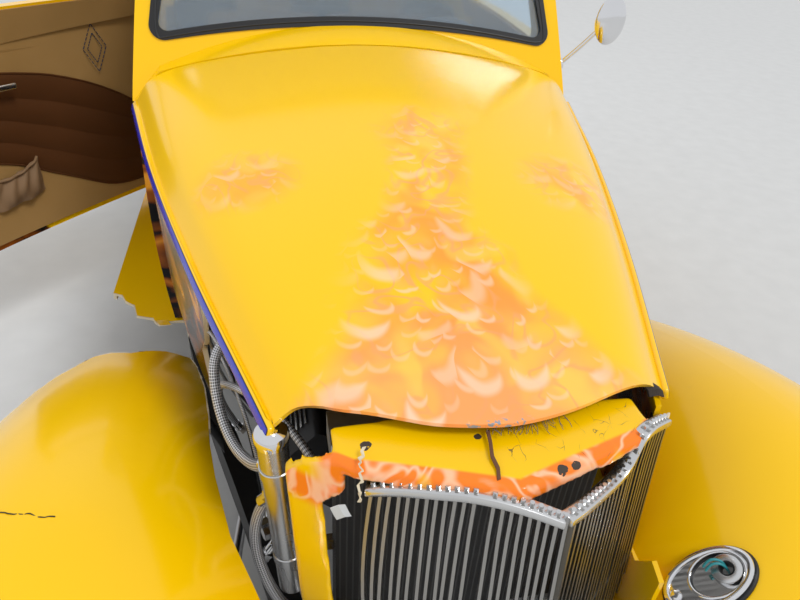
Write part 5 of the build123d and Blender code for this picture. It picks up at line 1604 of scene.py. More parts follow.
@dataclass
class Hose:
    """One hose of the engine bay."""

    name: str
    points: tuple[Point, ...]
    radius: float
    braided: bool = True
    fitting: bool = True

    def build(self) -> Piece:
        """Makes the hose and its end fittings."""
        hose = Bench.cable(self.name, self.points, self.radius, 10)
        Bench.finish(hose, BraidFinish() if self.braided else WIRE_BLACK, "car", "hose", smooth=60)
        if self.fitting:
            ends = []
            for tip, inner in ((self.points[0], self.points[1]), (self.points[-1], self.points[-2])):
                step = (Vector(inner) - Vector(tip)).normalized()
                spots = [Vector(tip) + step * reach for reach in (0.0, 0.016, 0.014, 0.034)]
                ends.append(Bench.rod("nut", *spots[:2], self.radius * 1.5, 6))
                ends.append(Bench.rod("collar", *spots[2:], self.radius * 1.22, 20))
            Bench.group(self.name + "_fittings", ends, CHROME, "car", "chrome")
        return hose


@dataclass
class EngineBay:
    """Hoses, wires and small fittings of the open engine bay."""

    hoses: tuple[Hose, ...] = (
        Hose("braided_hose_upper", ((-0.082, 0.45, 0.64), (-0.12, 0.45, 0.7), (-0.23, 0.447, 0.8),
                                    (-0.335, 0.435, 0.87), (-0.368, 0.41, 0.845), (-0.366, 0.37, 0.78),
                                    (-0.345, 0.31, 0.745), (-0.312, 0.245, 0.76), (-0.286, 0.2, 0.805),
                                    (-0.276, 0.184, 0.812)), 0.0085),
        Hose("braided_hose_lower", ((-0.279, 0.186, 0.765), (-0.3, 0.196, 0.735), (-0.318, 0.188, 0.66),
                                    (-0.3, 0.158, 0.585), (-0.27, 0.146, 0.52), (-0.226, 0.152, 0.476),
                                    (-0.203, 0.158, 0.463)), 0.0085),
        Hose("top_water_hose", ((-0.09, 0.2, 0.88), (-0.09, 0.26, 0.878), (-0.085, 0.33, 0.82),
                                (-0.055, 0.4, 0.7), (-0.04, 0.428, 0.641)), 0.0165, braided=False),
        Hose("braided_hose_middle", ((-0.345, 0.52, 0.56), (-0.372, 0.5, 0.64), (-0.372, 0.44, 0.76),
                                     (-0.33, 0.36, 0.82), (-0.255, 0.3, 0.8),
                                     (-0.205, 0.202, 0.76)), 0.0065),
    )
    wires: tuple[tuple[str, tuple[Point, ...], float, bool], ...] = (
        ("wire_one", ((-0.33, 0.64, 0.48), (-0.375, 0.6, 0.62), (-0.38, 0.5, 0.79),
                      (-0.35, 0.42, 0.835), (-0.3, 0.3, 0.7), (-0.29, 0.24, 0.56)), 0.0032, True),
        ("wire_two", ((-0.31, 0.64, 0.47), (-0.36, 0.56, 0.64), (-0.352, 0.47, 0.8),
                      (-0.31, 0.36, 0.64), (-0.3, 0.3, 0.5)), 0.0028, False),
        ("wire_three", ((-0.335, 0.7, 0.5), (-0.392, 0.6, 0.7), (-0.385, 0.52, 0.83),
                        (-0.345, 0.4, 0.85), (-0.31, 0.33, 0.83)), 0.0036, True),
    )

    def build(self) -> None:
        """Makes the bay's pieces."""
        for hose in self.hoses:
            piece = hose.build()
            if hose.name != "braided_hose_middle":
                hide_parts("hoses")
        for name, points, radius, bright in self.wires:
            finish = BraidFinish("fine_braid", 140.0, 5.0) if bright else WIRE_BLACK
            Bench.finish(Bench.cable(name, points, radius, 8), finish, "car", "hose", smooth=60)
        self._tank_cap()
        self._clamps()
        self._engine_trim()

    def _tank_cap(self) -> None:
        """Turned cap on the overflow tank, and two bands round the tank."""
        axis = Vector((-0.014, -0.01, 0.342)).normalized()
        top = Vector((-0.276, 0.16, 0.902))
        profile = ((0.0, 0.016), (0.01, 0.016), (0.013, 0.0135), (0.0215, 0.0125), (0.0235, 0.009),
                   (0.0235, 0.001), (0.0218, -0.001), (0.0218, -0.006), (0.0, -0.006))
        cap = Bench.lathe("tank_cap", profile, top, axis, 36)
        Bench.finish(cap, CHROME, "car", "chrome")
        profile = ((0.0212, -0.009), (0.0228, -0.008), (0.0228, 0.008), (0.0212, 0.009))
        centres = [top + axis * distance for distance in (-0.06, -0.255)]
        bands = [Bench.lathe("band", profile, centre, axis, 36) for centre in centres]
        Bench.group("tank_bands", bands, WORN_CHROME, "car", "chrome")

    def _clamps(self) -> None:
        """Small unions in the bay: a nut, neck and round tip at each of three places."""
        parts = []
        for place, facing in (((-0.292, 0.215, 0.64), (1, 0.4, 0)), ((-0.296, 0.262, 0.6), (0, 1, 0.2)),
                              ((-0.3, 0.232, 0.56), (0.6, 0, 1))):
            start = Vector(place)
            along = Vector(facing).normalized()
            parts.append(Bench.rod("nut", start - along * 0.012, start + along * 0.004, 0.012, 6))
            parts.append(Bench.rod("neck", start, start + along * 0.022, 0.0085, 16))
            parts.append(Bench.ball("tip", start + along * 0.024, (0.0085, 0.0085, 0.0085), sides=16))
        Bench.group("bay_unions", parts, CHROME, "car", "chrome")

    def _engine_trim(self) -> None:
        """Bolts along the rocker covers, fins on their tops and the cleaner's wing nut."""
        parts = []
        for sign in (-1, 1):
            slope = Matrix.Rotation(sign * math.radians(45.0), 4, "Y")
            for index in range(6):
                y = 0.4 + index * 0.078
                for across in (-0.057, 0.057):
                    ends = [slope @ Vector((across, 0, z)) + Vector((0, y, 0.4)) for z in (0.296, 0.303)]
                    parts.append(Bench.rod("bolt", *ends, 0.0055, 6))
            for index in range(7):
                across = -0.036 + index * 0.012
                fin = Bench.cube("fin", (0, 0, 0), (0.004, 0.36, 0.008))
                Bench.settle()
                raised = Matrix.Translation((across, 0, 0.346))
                fin.data.transform(Matrix.Translation((0, 0.59, 0.4)) @ slope @ raised)
                parts.append(fin)
        profile = ((0.0, 0.022), (0.006, 0.02), (0.009, 0.006), (0.016, 0.0), (0.0, 0.0))
        parts.append(Bench.lathe("wing_nut", profile, (0, 0.595, 0.7685), steps=20))
        Bench.group("engine_bright_parts", parts, POLISHED, "car", "polished_aluminium")


@dataclass
class LampBase:
    """Bezel, sunk seal, collar, wire and button of one headlamp base."""

    side: Side
    place: Point = (0.322, -0.009, 0.7005)
    normal: Point = (-0.595, 0.0, 0.804)
    slope: Point = (0.804, 0.0, 0.595)
    oval: tuple[float, float] = (0.066, 0.04)
    dish: tuple[float, float] = (0.04, 0.03)
    dish_shift: float = 0.014
    boss_shift: float = 0.03
    collar: tuple[tuple[float, float], ...] = (
        (0.0108, 0.0125), (0.018, 0.013), (0.0205, 0.0118), (0.0222, 0.006), (0.0222, 0.003), (0.0108, 0.003)
    )
    sleeve: tuple[tuple[float, float], ...] = (
        (0.0108, 0.0128), (0.0085, 0.012), (0.0085, -0.004), (0.0108, -0.004), (0.0108, 0.0128)
    )
    button: tuple[tuple[float, float], ...] = (
        (0.0, 0.0055), (0.0055, 0.0045), (0.008, 0.0015), (0.008, -0.002), (0.0, -0.002)
    )

    def build(self) -> None:
        """Makes the base's trim."""
        sign = self.side.value
        up = Vector((self.normal[0] * sign, 0.0, self.normal[2]))
        out = Vector((self.slope[0] * sign, 0.0, self.slope[2]))
        frame = Matrix((out, up.cross(out), up)).transposed().to_4x4()
        frame.translation = Vector((self.place[0] * sign, self.place[1], self.place[2]))
        name = "lamp_" + self.side.word
        long, short = self.oval
        rim = self._oval(long - 0.004, short - 0.004, 0.0045, 0.0028)
        foot = self._oval(long + 0.0015, short + 0.0015, 0.0032, 0.004)
        long, short = self.dish
        seal = self._oval(long - 0.002, short - 0.002, 0.002, 0.0022)
        lip = self._oval(long, short, 0.0022, 0.0018)
        collar = Bench.lathe("collar", self.collar, steps=36)
        sleeve = Bench.lathe("sleeve", self.sleeve, steps=28)
        button = Bench.lathe("button", self.button, steps=24)
        pieces = (
            ("rim", rim, (0.0, 0.0, 0.0095), CHROME, "chrome"),
            ("foot", foot, (0.0, 0.0, -0.001), GASKET, "gasket_rubber"),
            ("seal", seal, (self.dish_shift, 0.0, 0.0045), GASKET, "gasket_rubber"),
            ("lip", lip, (self.dish_shift, 0.0, 0.0092), CHROME, "chrome"),
            ("collar", collar, (self.boss_shift, 0.0, 0.0), POLISHED, "chrome"),
            ("sleeve", sleeve, (self.boss_shift, 0.0, 0.0), GASKET, "gasket_rubber"),
            ("button", button, (-0.05, 0.0, 0.0095), CHROME, "chrome"),
        )
        for word, piece, shift, finish, slot in pieces:
            piece.data.transform(frame @ Matrix.Translation(shift))
            piece.name = f"{name}_{word}"
            Bench.finish(piece, finish, "car", slot)
        wires = []
        for lift, aside in ((0.0, 0.0), (0.003, 0.005)):
            spots = ((0.03, aside, -0.006), (0.031, 0.002 + aside, 0.01 + lift),
                     (0.026, 0.006 + aside, 0.022 + lift), (0.014, 0.009 + aside, 0.026 + lift),
                     (0.004, 0.007 + aside, 0.018 + lift))
            wires.append(Bench.cable("wire", [frame @ Vector(spot) for spot in spots], 0.0019, 8))
        Bench.group(name + "_wire", wires, WIRE_TEAL, "car", "hose", smooth=60)

    @staticmethod
    def _oval(long: float, short: float, width: float, height: float) -> Piece:
        """Oval ring lying flat, longer along X.

        Args:
            long: Half length of its middle line.
            short: Half breadth of its middle line.
            width: Half width of its section.
            height: Half height of its section.

        Returns:
            The ring.
        """
        Bench.clear()
        bpy.ops.mesh.primitive_torus_add(
            major_radius=1.0, minor_radius=0.5, major_segments=56, minor_segments=10
        )
        ring = Bench.named("oval")
        for vertex in ring.data.vertices:
            flat = Vector((vertex.co.x, vertex.co.y, 0.0))
            unit = flat.normalized()
            out = (flat.length - 1.0) * 2.0 * width
            vertex.co = Vector((unit.x * (long + out), unit.y * (short + out), vertex.co.z * 2 * height))
        return ring


@dataclass
class RearViewMirror:
    """Bright oval mirror head with its glass, arm and pivot."""

    head: Point = (0.687, 1.304, 1.213)
    foot: Point = (0.59, 1.345, 1.088)

    def build(self) -> None:
        """Makes the mirror."""
        facing = Vector((0.1, -1.0, 0.0)).normalized()
        turn = facing.to_track_quat("Z", "Y").to_matrix().to_4x4()
        frame = Matrix.Translation(Vector(self.head) + facing * 0.012) @ turn
        shell = Bench.ball("mirror_shell", (0, 0, 0), (0.0455, 0.0635, 0.017), sides=40)
        Bench.settle()
        shell.data.transform(frame)
        Bench.finish(shell, CHROME, "car", "chrome")
        glass = Bench.ball("mirror_glass", (0, 0, 0), (0.0395, 0.057, 0.0045), sides=40)
        Bench.settle()
        glass.data.transform(frame @ Matrix.Translation((0, 0, -0.0148)))
        Bench.finish(glass, MIRROR, "car", "chrome")
        start, end = Vector(self.foot), Vector(self.head)
        middle = start.lerp(end, 0.5) + Vector((0.006, 0, -0.004))
        arm = Bench.cable("mirror_arm", (start, middle, end), 0.0062, 12)
        knob = Bench.ball("mirror_pivot", start.lerp(end, 0.82), (0.011, 0.011, 0.011), sides=20)
        base = Bench.rod("mirror_base", (0.566, 1.345, 1.082), (0.592, 1.345, 1.087), 0.0165, 28)
        Bench.bevel(base, 0.003)
        whole = Bench.join("mirror_arm", [arm, knob, base])
        Bench.finish(whole, CHROME, "car", "chrome")
        for piece in (shell, whole):
            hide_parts("mirror")


@dataclass
class RoadWheel:
    """Tyre with grooves, bolts and centre cap of one wheel."""

    end: str
    side: Side
    half_track: float
    y: float
    radius: float
    width: float
    rim: float

    @property
    def name(self) -> str:
        """Place of the wheel, as used in node names."""
        return f"{self.end}_{self.side.word}"

    @property
    def body(self) -> str:
        """Body that the wheel belongs to."""
        return f"wheel_{self.name}"

    def build(self) -> None:
        """Makes the wheel's looks."""
        sign = self.side.value
        centre = Vector((self.half_track * sign, self.y, self.radius))
        half = self.width / 2
        mid = self.rim + 0.42 * (self.radius - self.rim)
        wall = [(self.rim + 0.0002, half * 0.78), (self.rim + 0.012, half * 0.86), (mid - 0.02, half * 0.975),
                (mid, half), (mid + 0.018, half * 0.995), (self.radius - 0.034, half * 0.985),
                (self.radius - 0.018, half * 0.955)]
        profile = wall + self._tread(half) + [(r, -across) for r, across in reversed(wall)] + wall[:1]
        tyre = Bench.lathe(f"tyre_{self.name}", profile, centre, (sign, 0, 0), 72)
        finish = TyreFinish(f"tyre_rubber_{self.name}", (self.y, self.radius), self.half_track, self.radius)
        Bench.finish(tyre, finish, self.body, "tyre", smooth=28)
        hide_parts(f"tyre_{self.name}")
        face = self.width * 0.47 * 0.45 + 0.01
        out = Vector((sign, 0, 0))
        parts = []
        cap = ((0.0, 0.018), (0.012, 0.017), (0.024, 0.012), (0.031, 0.004), (0.033, 0.0), (0.033, -0.004),
               (0.0, -0.004))
        parts.append(Bench.lathe("cap", cap, centre + out * face, out, 36))
        for index in range(5):
            angle = math.radians(72 * index + 36)
            spot = centre + Vector((0, math.sin(angle), math.cos(angle))) * 0.048 + out * (face - 0.001)
            parts.append(Bench.rod("nut", spot, spot + out * 0.013, 0.0085, 6))
            parts.append(Bench.ball("dome", spot + out * 0.012, (0.006, 0.006, 0.006), sides=12))
        valve = centre + Vector((0, 0.0, self.rim * 0.86)) + out * (self.width * 0.47 * 0.72)
        parts.append(Bench.rod("valve", valve, valve + out * 0.022 + Vector((0, 0, -0.006)), 0.0036, 10))
        Bench.group(f"wheel_caps_{self.name}", parts, CHROME, self.body, "wheel_metal")

    def _tread(self, half: float) -> list[tuple[float, float]]:
        """Profile across the tread with four grooves.

        Args:
            half: Half width of the tyre.

        Returns:
            Pairs of radius and distance along the axle.
        """
        crown, shoulder = self.radius, half * 0.9
        grooves = [0.55, 0.19, -0.19, -0.55]
        points: list[tuple[float, float]] = [(crown - 0.0095, shoulder)]
        for share in grooves:
            middle, wide, deep = share * half, 0.0048, 0.008
            drop = 0.009 * (abs(share) / 0.9) ** 2
            points += [(crown - drop, middle + wide), (crown - drop - deep, middle + wide * 0.7),
                       (crown - drop - deep, middle - wide * 0.7), (crown - drop, middle - wide)]
        points.append((crown - 0.0095, -shoulder))
        return points


@dataclass
class DoorLining:
    """Inner lining of the doors, built on the closed left door and copied to the open right one."""

    nodes: dict[str, Piece]
    band: tuple[tuple[float, float, float], ...] = (
        (1.42, 0.968, 0.27), (1.56, 0.956, 0.28), (1.672, 0.937, 0.3), (1.764, 0.919, 0.335),
        (1.855, 0.896, 0.362), (1.994, 0.842, 0.382), (2.118, 0.774, 0.335), (2.29, 0.655, 0.2)
    )
    inside_x: float = 0.35

    @staticmethod
    def _hang(piece: Piece, name: str, finish: Recipe, slot: str, smooth: float = 40.0) -> None:
        """Finishes a piece on the left door and its copy on the right one.

        Args:
            piece: Piece on the left door.
            name: Name of the pair.
            finish: Its finish.
            slot: Material slot of the record.
            smooth: Angle in degrees under which edges are smooth.
        """
        Bench.take(piece)
        Bench.settle()
        twin = Bench.swung(piece, name + "_right")
        piece.name = name + "_left"
        Bench.finish(piece, finish, "door_left", slot, smooth)
        Bench.finish(twin, finish, "door_right", slot, smooth)

    def _drape(self, piece: Piece, gap: float) -> Piece:
        """Lays a strip on the inner face of the left trim panel.

        Args:
            piece: The strip.
            gap: Distance that it keeps.

        Returns:
            The strip.
        """
        return Bench.modify(
            piece, "SHRINKWRAP", target=self.nodes["door_trim_left"], wrap_method="PROJECT",
            wrap_mode="ABOVE_SURFACE", use_project_x=True, use_negative_direction=False,
            use_positive_direction=True, offset=gap
        )

    def build(self) -> None:
        """Makes band, welts, pocket, handle and stitching."""
        self._band()
        self._pocket()
        self._handle()
        self._motif()

    def _band(self) -> None:
        """Brown band with three sewn channels that follow its curve, and its piping."""
        rows = 4
        slices = []
        for row in range(rows):
            low, high = row / rows, (row + 1) / rows
            for share, gap in ((low + 0.003, 0.0012), (low + 0.018, 0.0042), ((low + high) / 2, 0.0056),
                               (high - 0.018, 0.0042), (high - 0.003, 0.0012)):
                slices.append((share, gap))
        places = [self.band[0][0] + (self.band[-1][0] - self.band[0][0]) * i / 28 for i in range(29)]
        edge = [(y, *through(self.band, y)) for y in places]
        count = len(edge)
        lines = [[(self.inside_x, y, top - deep * share) for y, top, deep in edge] for share, _ in slices]
        piece = Bench.sheet("band", lines)
        self._drape(piece, 0.0)
        for index, (_, gap) in enumerate(slices):
            for vertex in list(piece.data.vertices)[index * count:(index + 1) * count]:
                vertex.co.x -= gap
        Bench.face(piece, (-1, 0, 0))
        self._hang(piece, "door_band", BROWN, "trim", 70)
        for name, share in (("upper", 0.0), ("lower", 1.0)):
            welt = Bench.trace("welt", [(self.inside_x, y, top - deep * share) for y, top, deep in edge])
            Bench.leave()
            self._drape(welt, 0.002)
            bpy.ops.object.convert(target="CURVE")
            curve = bpy.context.object
            curve.data.bevel_depth = 0.0032
            curve.data.bevel_resolution = 3
            bpy.ops.object.convert(target="MESH")
            self._hang(bpy.context.object, f"door_welt_{name}", BROWN, "trim", 60)

    def _pocket(self) -> None:
        """Gathered map pocket at the foot of the lining."""
        Bench.clear()
        bpy.ops.mesh.primitive_grid_add(x_subdivisions=44, y_subdivisions=14, size=1.0)
        pocket = Bench.named("pocket")
        low, high, front, rear = 0.524, 0.632, 1.548, 1.728
        for vertex in pocket.data.vertices:
            u, v = vertex.co.x + 0.5, vertex.co.y + 0.5
            y = front + (rear - front) * u
            sag = 0.012 * math.sin(math.pi * u)
            z = low + (high - low) * v - sag * v + (u - 0.5) * (0.018 + 0.017 * v)
            belly = math.sin(math.pi * min(1.0, u * 1.02)) ** 0.5 * 0.03
            belly *= math.sin(math.pi * min(1.0, 0.12 + v * 0.8))
            fold = math.sin(u * 23.0 + 2.2 * math.sin(v * 4.0)) * 0.006 * (0.35 + 0.65 * v)
            crease = math.sin(u * 12.0 - v * 5.0) * 0.005 * (1 - v)
            vertex.co = Vector((self._face_x(y, z) - 0.004 - belly - fold - crease, y, z))
        Bench.thicken(pocket, 0.003)
        self._hang(pocket, "door_pocket", TAUPE, "trim", 70)
        hem_points = []
        for index in range(13):
            u = index / 12
            y = front + (rear - front) * u
            z = high - 0.012 * math.sin(math.pi * u) + (u - 0.5) * 0.035
            hem_points.append((self._face_x(y, z) - 0.006 - 0.016 * math.sin(math.pi * u) ** 0.5
                               - 0.004 * math.sin(u * 23.0), y, z))
        hem = Bench.cable("hem", hem_points, 0.0048, 10)
        self._hang(hem, "door_pocket_hem", TAUPE, "trim", 60)

    @staticmethod
    def _face_x(y: float, z: float) -> float:
        """Half width of the lining's inner face, from the body's own sections.

        Args:
            y: Distance along the car.
            z: Height.

        Returns:
            Distance from the centre plane.
        """
        sill = 0.557 + (y - 1.56) * 0.068 - max(0.0, y - 2.0) * 0.045
        waist = sill + 0.0235
        belt = sill + 0.0115
        if z < 0.7:
            t = (0.7 - z) / 0.355
            return waist - (waist - sill) * t * t
        t = (z - 0.7) / 0.33
        return waist - (waist - belt) * t * t

    def _handle(self) -> None:
        """Bright inner handle."""
        y, z = 1.645, 0.902
        x = self._face_x(y, z) - 0.008
        rose = Bench.lathe("rose", ((0.0, 0.012), (0.012, 0.011), (0.02, 0.006), (0.023, 0.0), (0.0, 0.0)),
                           (x, y, z), (-1, 0, 0), 32)
        lever = Bench.cube("lever", (x - 0.019, y + 0.026, z - 0.003), (0.011, 0.078, 0.019))
        Bench.bevel(lever, 0.005, 3)
        neck = Bench.rod("neck", (x, y, z), (x - 0.02, y, z), 0.0075, 20)
        self._hang(Bench.join("inner_handle", [rose, lever, neck]), "door_inner_handle", POLISHED, "chrome")

    def _motif(self) -> None:
        """Plain stitched diamond on the upper panel."""
        y, z = 2.04, 0.953
        x = self._face_x(y, z) - 0.0012
        parts = []
        corners = [(0.0, 0.08), (0.046, 0.0), (0.0, -0.08), (-0.046, 0.0)]
        for scale in (1.0, 0.62):
            for (ay, az), (by, bz) in zip(corners, corners[1:] + corners[:1]):
                for step in range(6):
                    ends = [(x, y + scale * (ay + (by - ay) * t), z + scale * (az + (bz - az) * t))
                            for t in ((step + 0.15) / 6, (step + 0.85) / 6)]
                    parts.append(Bench.rod("stitch", *ends, 0.0016, 6))
        thread = Finish("dark_thread", (0.02, 0.03, 0.06), rough=0.8)
        self._hang(Bench.join("motif", parts), "door_stitching", thread, "trim")


@dataclass
class SeatTrim:
    """Bench seat with sewn flutes on cushion and backs, and two headrests."""

    def build(self) -> None:
        """Makes the padded pieces."""
        pieces = []
        base = Bench.cube("seat_base", (0, 2.17, 0.447), (0.9, 0.4, 0.1))
        Bench.bevel(base, 0.01)
        Bench.finish(base, FLOOR_BLACK, "car", "upholstery")
        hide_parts("seat")
        for side in Side:
            for name, x, y, z, size, lean, flutes in (
                ("seat_cushion", 0.2455, 2.168, 0.541, (0.478, 0.462, 0.135), 0.0, 7),
                ("seat_back", 0.2455, 2.462, 0.812, (0.478, 0.088, 0.41), 25.0, 7),
                ("headrest", 0.24, 2.555, 1.076, (0.236, 0.07, 0.16), 17.0, 0),
            ):
                centre = (side.value * x, y, z)
                pieces.append(self._pad(f"{name}_{side.word}", centre, size, lean, flutes))
        for piece in pieces:
            Bench.finish(piece, TAN, "car", "upholstery", smooth=60)
            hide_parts("seat")

    @staticmethod
    def _pad(name: str, centre: Point, size: Point, lean: float, flutes: int) -> Piece:
        """Crowned pad with flutes across its width.

        Args:
            name: Name of the pad.
            centre: Its middle.
            size: Its width, depth and height.
            lean: Backward lean in degrees.
            flutes: Number of sewn channels.

        Returns:
            The pad.
        """
        pad = Bench.cube(name, (0, 0, 0), size)
        Bench.settle()
        Bench.enter()
        bpy.ops.mesh.subdivide(number_cuts=11)
        bpy.ops.mesh.subdivide(number_cuts=2)
        Bench.leave()
        half = Vector(size) / 2
        for vertex in pad.data.vertices:
            u, v, w = (vertex.co[i] / half[i] for i in range(3))
            pull = [1 - 0.055 * (b ** 4 + c ** 4) for b, c in ((v, w), (u, w), (u, v))]
            vertex.co = Vector([vertex.co[i] * pull[i] for i in range(3)])
            if flutes and abs(u) < 0.9 and abs(w) < 0.93:
                groove = abs(math.sin(math.pi * (u + 1) / 2 * flutes)) ** 0.4
                depth = 0.01 * (1 - groove)
                if lean and v < -0.2:
                    vertex.co.y += depth
                if not lean and w > 0.2:
                    vertex.co.z -= depth
        pad.data.transform(Matrix.Rotation(math.radians(-lean), 4, "X"))
        pad.data.transform(Matrix.Translation(centre))
        Bench.modify(pad, "SMOOTH", factor=0.5, iterations=2)
        return pad


@dataclass
class Cockpit:
    """Gauges, pedals and lever inside."""

    face_y: float = 1.449

    def build(self) -> None:
        """Makes the small pieces of the cockpit."""
        rims, faces = [], []
        for x, z, r in ((0.235, 1.035, 0.04), (0.365, 1.035, 0.04), (0.15, 1.03, 0.024),
                        (0.45, 1.03, 0.024), (0.085, 1.03, 0.024)):
            y = self.face_y + 0.0135
            rims.append(Bench.ring("rim", (x, y, z), (0, 1, 0), r, 0.0035))
            faces.append(Bench.rod("face", (x, y - 0.001, z), (x, y + 0.0015, z), r, 36))
            angle = math.radians(40 + x * 300)
            tip = (x + math.sin(angle) * r * 0.7, y + 0.003, z + math.cos(angle) * r * 0.7)
            rims.append(Bench.rod("needle", (x, y + 0.003, z), tip, 0.0009, 6))
        Bench.group("gauge_rims", rims, CHROME, "car", "chrome")
        white = Finish("gauge_face", (0.75, 0.73, 0.68), rough=0.4)
        Bench.group("gauge_faces", faces, white, "car", "dash_vinyl")
        pedals = []
        for x, height in ((0.25, 0.15), (0.345, 0.11)):
            pedals.append(Bench.cube("pad", (x, 1.452, 0.41 + height), (0.055, 0.01, 0.075)))
            Bench.bevel(pedals[-1], 0.004)
            top = (x, 1.366, 0.45 + height + 0.12)
            pedals.append(Bench.rod("stem", (x, 1.448, 0.41 + height), top, 0.007, 12))
        Bench.group("pedals", pedals, GASKET, "car", "gasket_rubber")
        lever = [Bench.rod("stem", (0.02, 1.7, 0.548), (0.035, 1.755, 0.8), 0.0075, 16),
                 Bench.ball("knob", (0.036, 1.758, 0.812), (0.024, 0.024, 0.026), sides=28)]
        profile = ((0.062, 0.0), (0.048, 0.016), (0.05, 0.022), (0.034, 0.036), (0.036, 0.042),
                   (0.012, 0.06), (0.0, 0.06))
        boot = Bench.lathe("boot", profile, (0.02, 1.7, 0.553), (0.06, 0.2, 1), 32)
        Bench.group("shift_lever", lever, CHROME, "car", "chrome")
        Bench.finish(boot, GASKET, "car", "gasket_rubber", smooth=60)


@dataclass
class OuterTrim:
    """Door handles, windscreen bead, tail-lamp rims, exhaust tips and lid handle."""

    def build(self) -> None:
        """Makes the trim."""
        self._door_handles()
        self._tail_lamps()
        self._tips_and_handle()
        self._screen_bead()

    @staticmethod
    def _door_handles() -> None:
        """Bright lever handle near the front edge of each door."""
        y, z, x = 1.445, 0.93, 0.6155
        profile = ((0.0, 0.012), (0.013, 0.011), (0.021, 0.005), (0.023, 0.0), (0.023, -0.006), (0.0, -0.006))
        rose = Bench.lathe("rose", profile, (x, y, z), (1, 0, 0), 32)
        lever = Bench.cube("lever", (x + 0.034, y + 0.05, z), (0.011, 0.118, 0.017))
        Bench.bevel(lever, 0.005, 3)
        neck = Bench.rod("neck", (x, y, z), (x + 0.036, y, z), 0.0085, 20)
        handle = Bench.join("door_handle_left", [rose, lever, neck])
        Bench.settle()
        twin = Bench.swung(handle, "door_handle_right")
        Bench.finish(handle, CHROME, "door_left", "chrome")
        Bench.finish(twin, CHROME, "door_right", "chrome")

    @staticmethod
    def _tail_lamps() -> None:
        """Bright rim round each lens."""
        for side in Side:
            centre = (side.value * 0.652, 3.35, 0.556)
            profile = ((0.0421, -0.03), (0.0465, -0.028), (0.048, 0.0), (0.0465, 0.006), (0.0421, 0.004))
            rim = Bench.lathe(f"tail_lamp_rim_{side.word}", profile, centre, (0, 1, 0), 40)
            Bench.finish(rim, CHROME, "car", "chrome")

    @staticmethod
    def _tips_and_handle() -> None:
        """Rolled exhaust tips and the lid's handle."""
        profile = ((0.0242, -0.085), (0.0265, -0.084), (0.0265, -0.004), (0.0255, -0.001), (0.0215, -0.001),
                   (0.0205, -0.006), (0.0205, -0.06), (0.0, -0.06))
        tips = [Bench.lathe("tip", profile, (side.value * 0.25, 3.6005, 0.3678), (0, 1, 0.017), 32)
                for side in Side]
        Bench.group("exhaust_tips", tips, CHROME, "car", "exhaust_steel")
        stem = Bench.rod("stem", (0, 3.395, 0.853), (0, 3.412, 0.884), 0.009, 20)
        grip = Bench.cube("grip", (0, 3.413, 0.886), (0.105, 0.016, 0.013))
        Bench.bevel(grip, 0.005, 3)
        Bench.group("deck_lid_handle", [stem, grip], CHROME, "deck_lid", "chrome")

    @staticmethod
    def _screen_bead() -> None:
        """Grey bead sunk in the windscreen rubber."""
        tilt = math.radians(22.3)
        normal = Vector((0, -math.cos(tilt), math.sin(tilt)))
        up = Vector((0, math.sin(tilt), math.cos(tilt)))
        origin = Vector((0, 1.328, 1.128))
        inset, points = 0.0125, []
        base, top, height = 0.54 - inset, 0.48 - inset, 0.315 - inset
        for index in range(13):
            u = index / 6 - 1
            points.append((u * base * 0.965, inset + 0.05 * (1 - u * u)))
        points += [(base * 0.995, inset + 0.022), (top * 1.004, height - 0.022)]
        for index in range(13):
            u = 1 - index / 6
            points.append((u * top * 0.965, height + 0.022 * (1 - u * u)))
        points += [(-top * 1.004, height - 0.022), (-base * 0.995, inset + 0.022), points[0]]
        spots = [origin + Vector((1, 0, 0)) * a + up * b + normal * 0.0042 for a, b in points]
        bead = Bench.cable("screen_bead", spots, 0.0021, 8)
        Bench.finish(bead, GREY_BEAD, "car", "gasket_rubber", smooth=60)


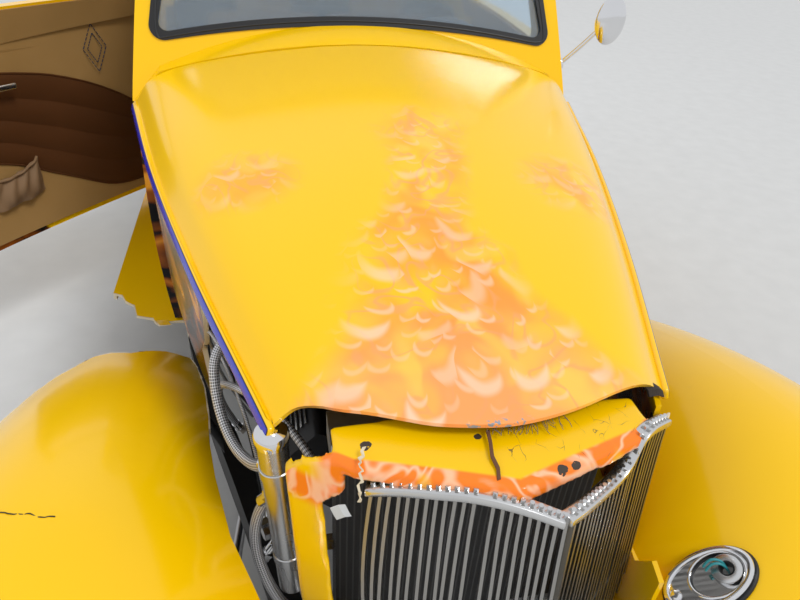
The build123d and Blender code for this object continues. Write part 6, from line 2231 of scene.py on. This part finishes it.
@dataclass
class NoseDamage:
    """Rusty strip, bent flap and stray fibres at the hood's lip, loose tab, and the fender's crack."""

    def build(self) -> None:
        """Makes the small damaged pieces."""
        line = ((-0.02, 0.08, 0.9605), (-0.022, 0.062, 0.9585), (-0.026, 0.042, 0.957),
                (-0.024, 0.026, 0.955), (-0.027, 0.012, 0.952))
        strip = Bench.ribbon("rusty_strip", line, ((0.0045, 0.001, 0.0),), 0.0016)
        Bench.finish(strip, RUST, "car", "body_paint", smooth=20)
        loose = Finish("loose_fibre", (0.2, 0.15, 0.09), rough=0.9)
        Bench.group("lip_fibres", self._fibres(), loose, "hood", "body_paint", smooth=0)
        line = ((-0.64, 0.188, 0.7865), (-0.613, 0.178, 0.7905), (-0.596, 0.176, 0.7915),
                (-0.578, 0.167, 0.7925), (-0.56, 0.166, 0.7912))
        crack = Bench.ribbon("fender_crack", jagged(line, 5, 0.0011, 4), ((0.0, 0.0016, 0.0),), 0.0008)
        Bench.finish(crack, WIRE_BLACK, "car", "body_paint", smooth=20)
        line = ((0.226, 0.144, 0.95), (0.246, 0.15, 0.945), (0.262, 0.158, 0.932))
        flap = Bench.ribbon("lip_flap", line, ((0.004, -0.01, -0.003), (0.003, -0.003, -0.009)), 0.003)
        scorched = Finish("scorched_laminate", (0.02, 0.012, 0.008), rough=0.7, grain=0.6)
        Bench.finish(flap, scorched, "hood", "body_paint", smooth=40)
        line = ((-0.213, 0.036, 0.909), (-0.204, 0.034, 0.915), (-0.196, 0.036, 0.912))
        tab = Bench.ribbon("loose_tab", line, ((0.004, -0.003, -0.01), (0.003, -0.001, -0.007)), 0.0012)
        Bench.finish(tab, Finish("grey_tab", (0.55, 0.56, 0.55), rough=0.5), "car", "body_paint", smooth=20)

    @staticmethod
    def _fibres() -> list[Piece]:
        """Stray fibres that hang from the hood's lip."""
        draw = random.Random(21)
        fibres = []
        for _ in range(34):
            x = draw.uniform(-0.02, 0.085)
            start = Vector((x, 0.088 + (x / 0.264) ** 2 * 0.044, 0.964))
            aside, ahead = draw.uniform(-0.008, 0.008), -draw.uniform(0.004, 0.013)
            middle = start + Vector((aside, ahead, draw.uniform(-0.006, 0.002)))
            aside, ahead = draw.uniform(-0.009, 0.009), -draw.uniform(0.0, 0.012)
            end = middle + Vector((aside, ahead, draw.uniform(-0.007, 0.001)))
            fibres.append(Bench.cable("fibre", (start, middle, end), 0.00042, 3))
        return fibres


def main() -> None:
    """Builds the scene in order."""
    logging.basicConfig(level=logging.INFO, format="%(message)s")
    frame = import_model()
    nodes = frame["nodes"]
    Bench.clear()
    Studio().build()
    CadFinishes(nodes).dress()
    GrilleInsert().build()
    HoodPanel().build()
    SoftPanel(nodes, "grille_shell", SHELL_PAINT).build()
    BrokenEdges(nodes).build()
    Shards().build()
    EngineBay().build()
    for side in Side:
        LampBase(side).build()
        for end, *sizes in AXLES:
            RoadWheel(end, side, *sizes).build()
    RearViewMirror().build()
    DoorLining(nodes).build()
    SeatTrim().build()
    Cockpit().build()
    OuterTrim().build()
    NoseDamage().build()
    Bench.clear()


if __name__ == "__main__":
    main()
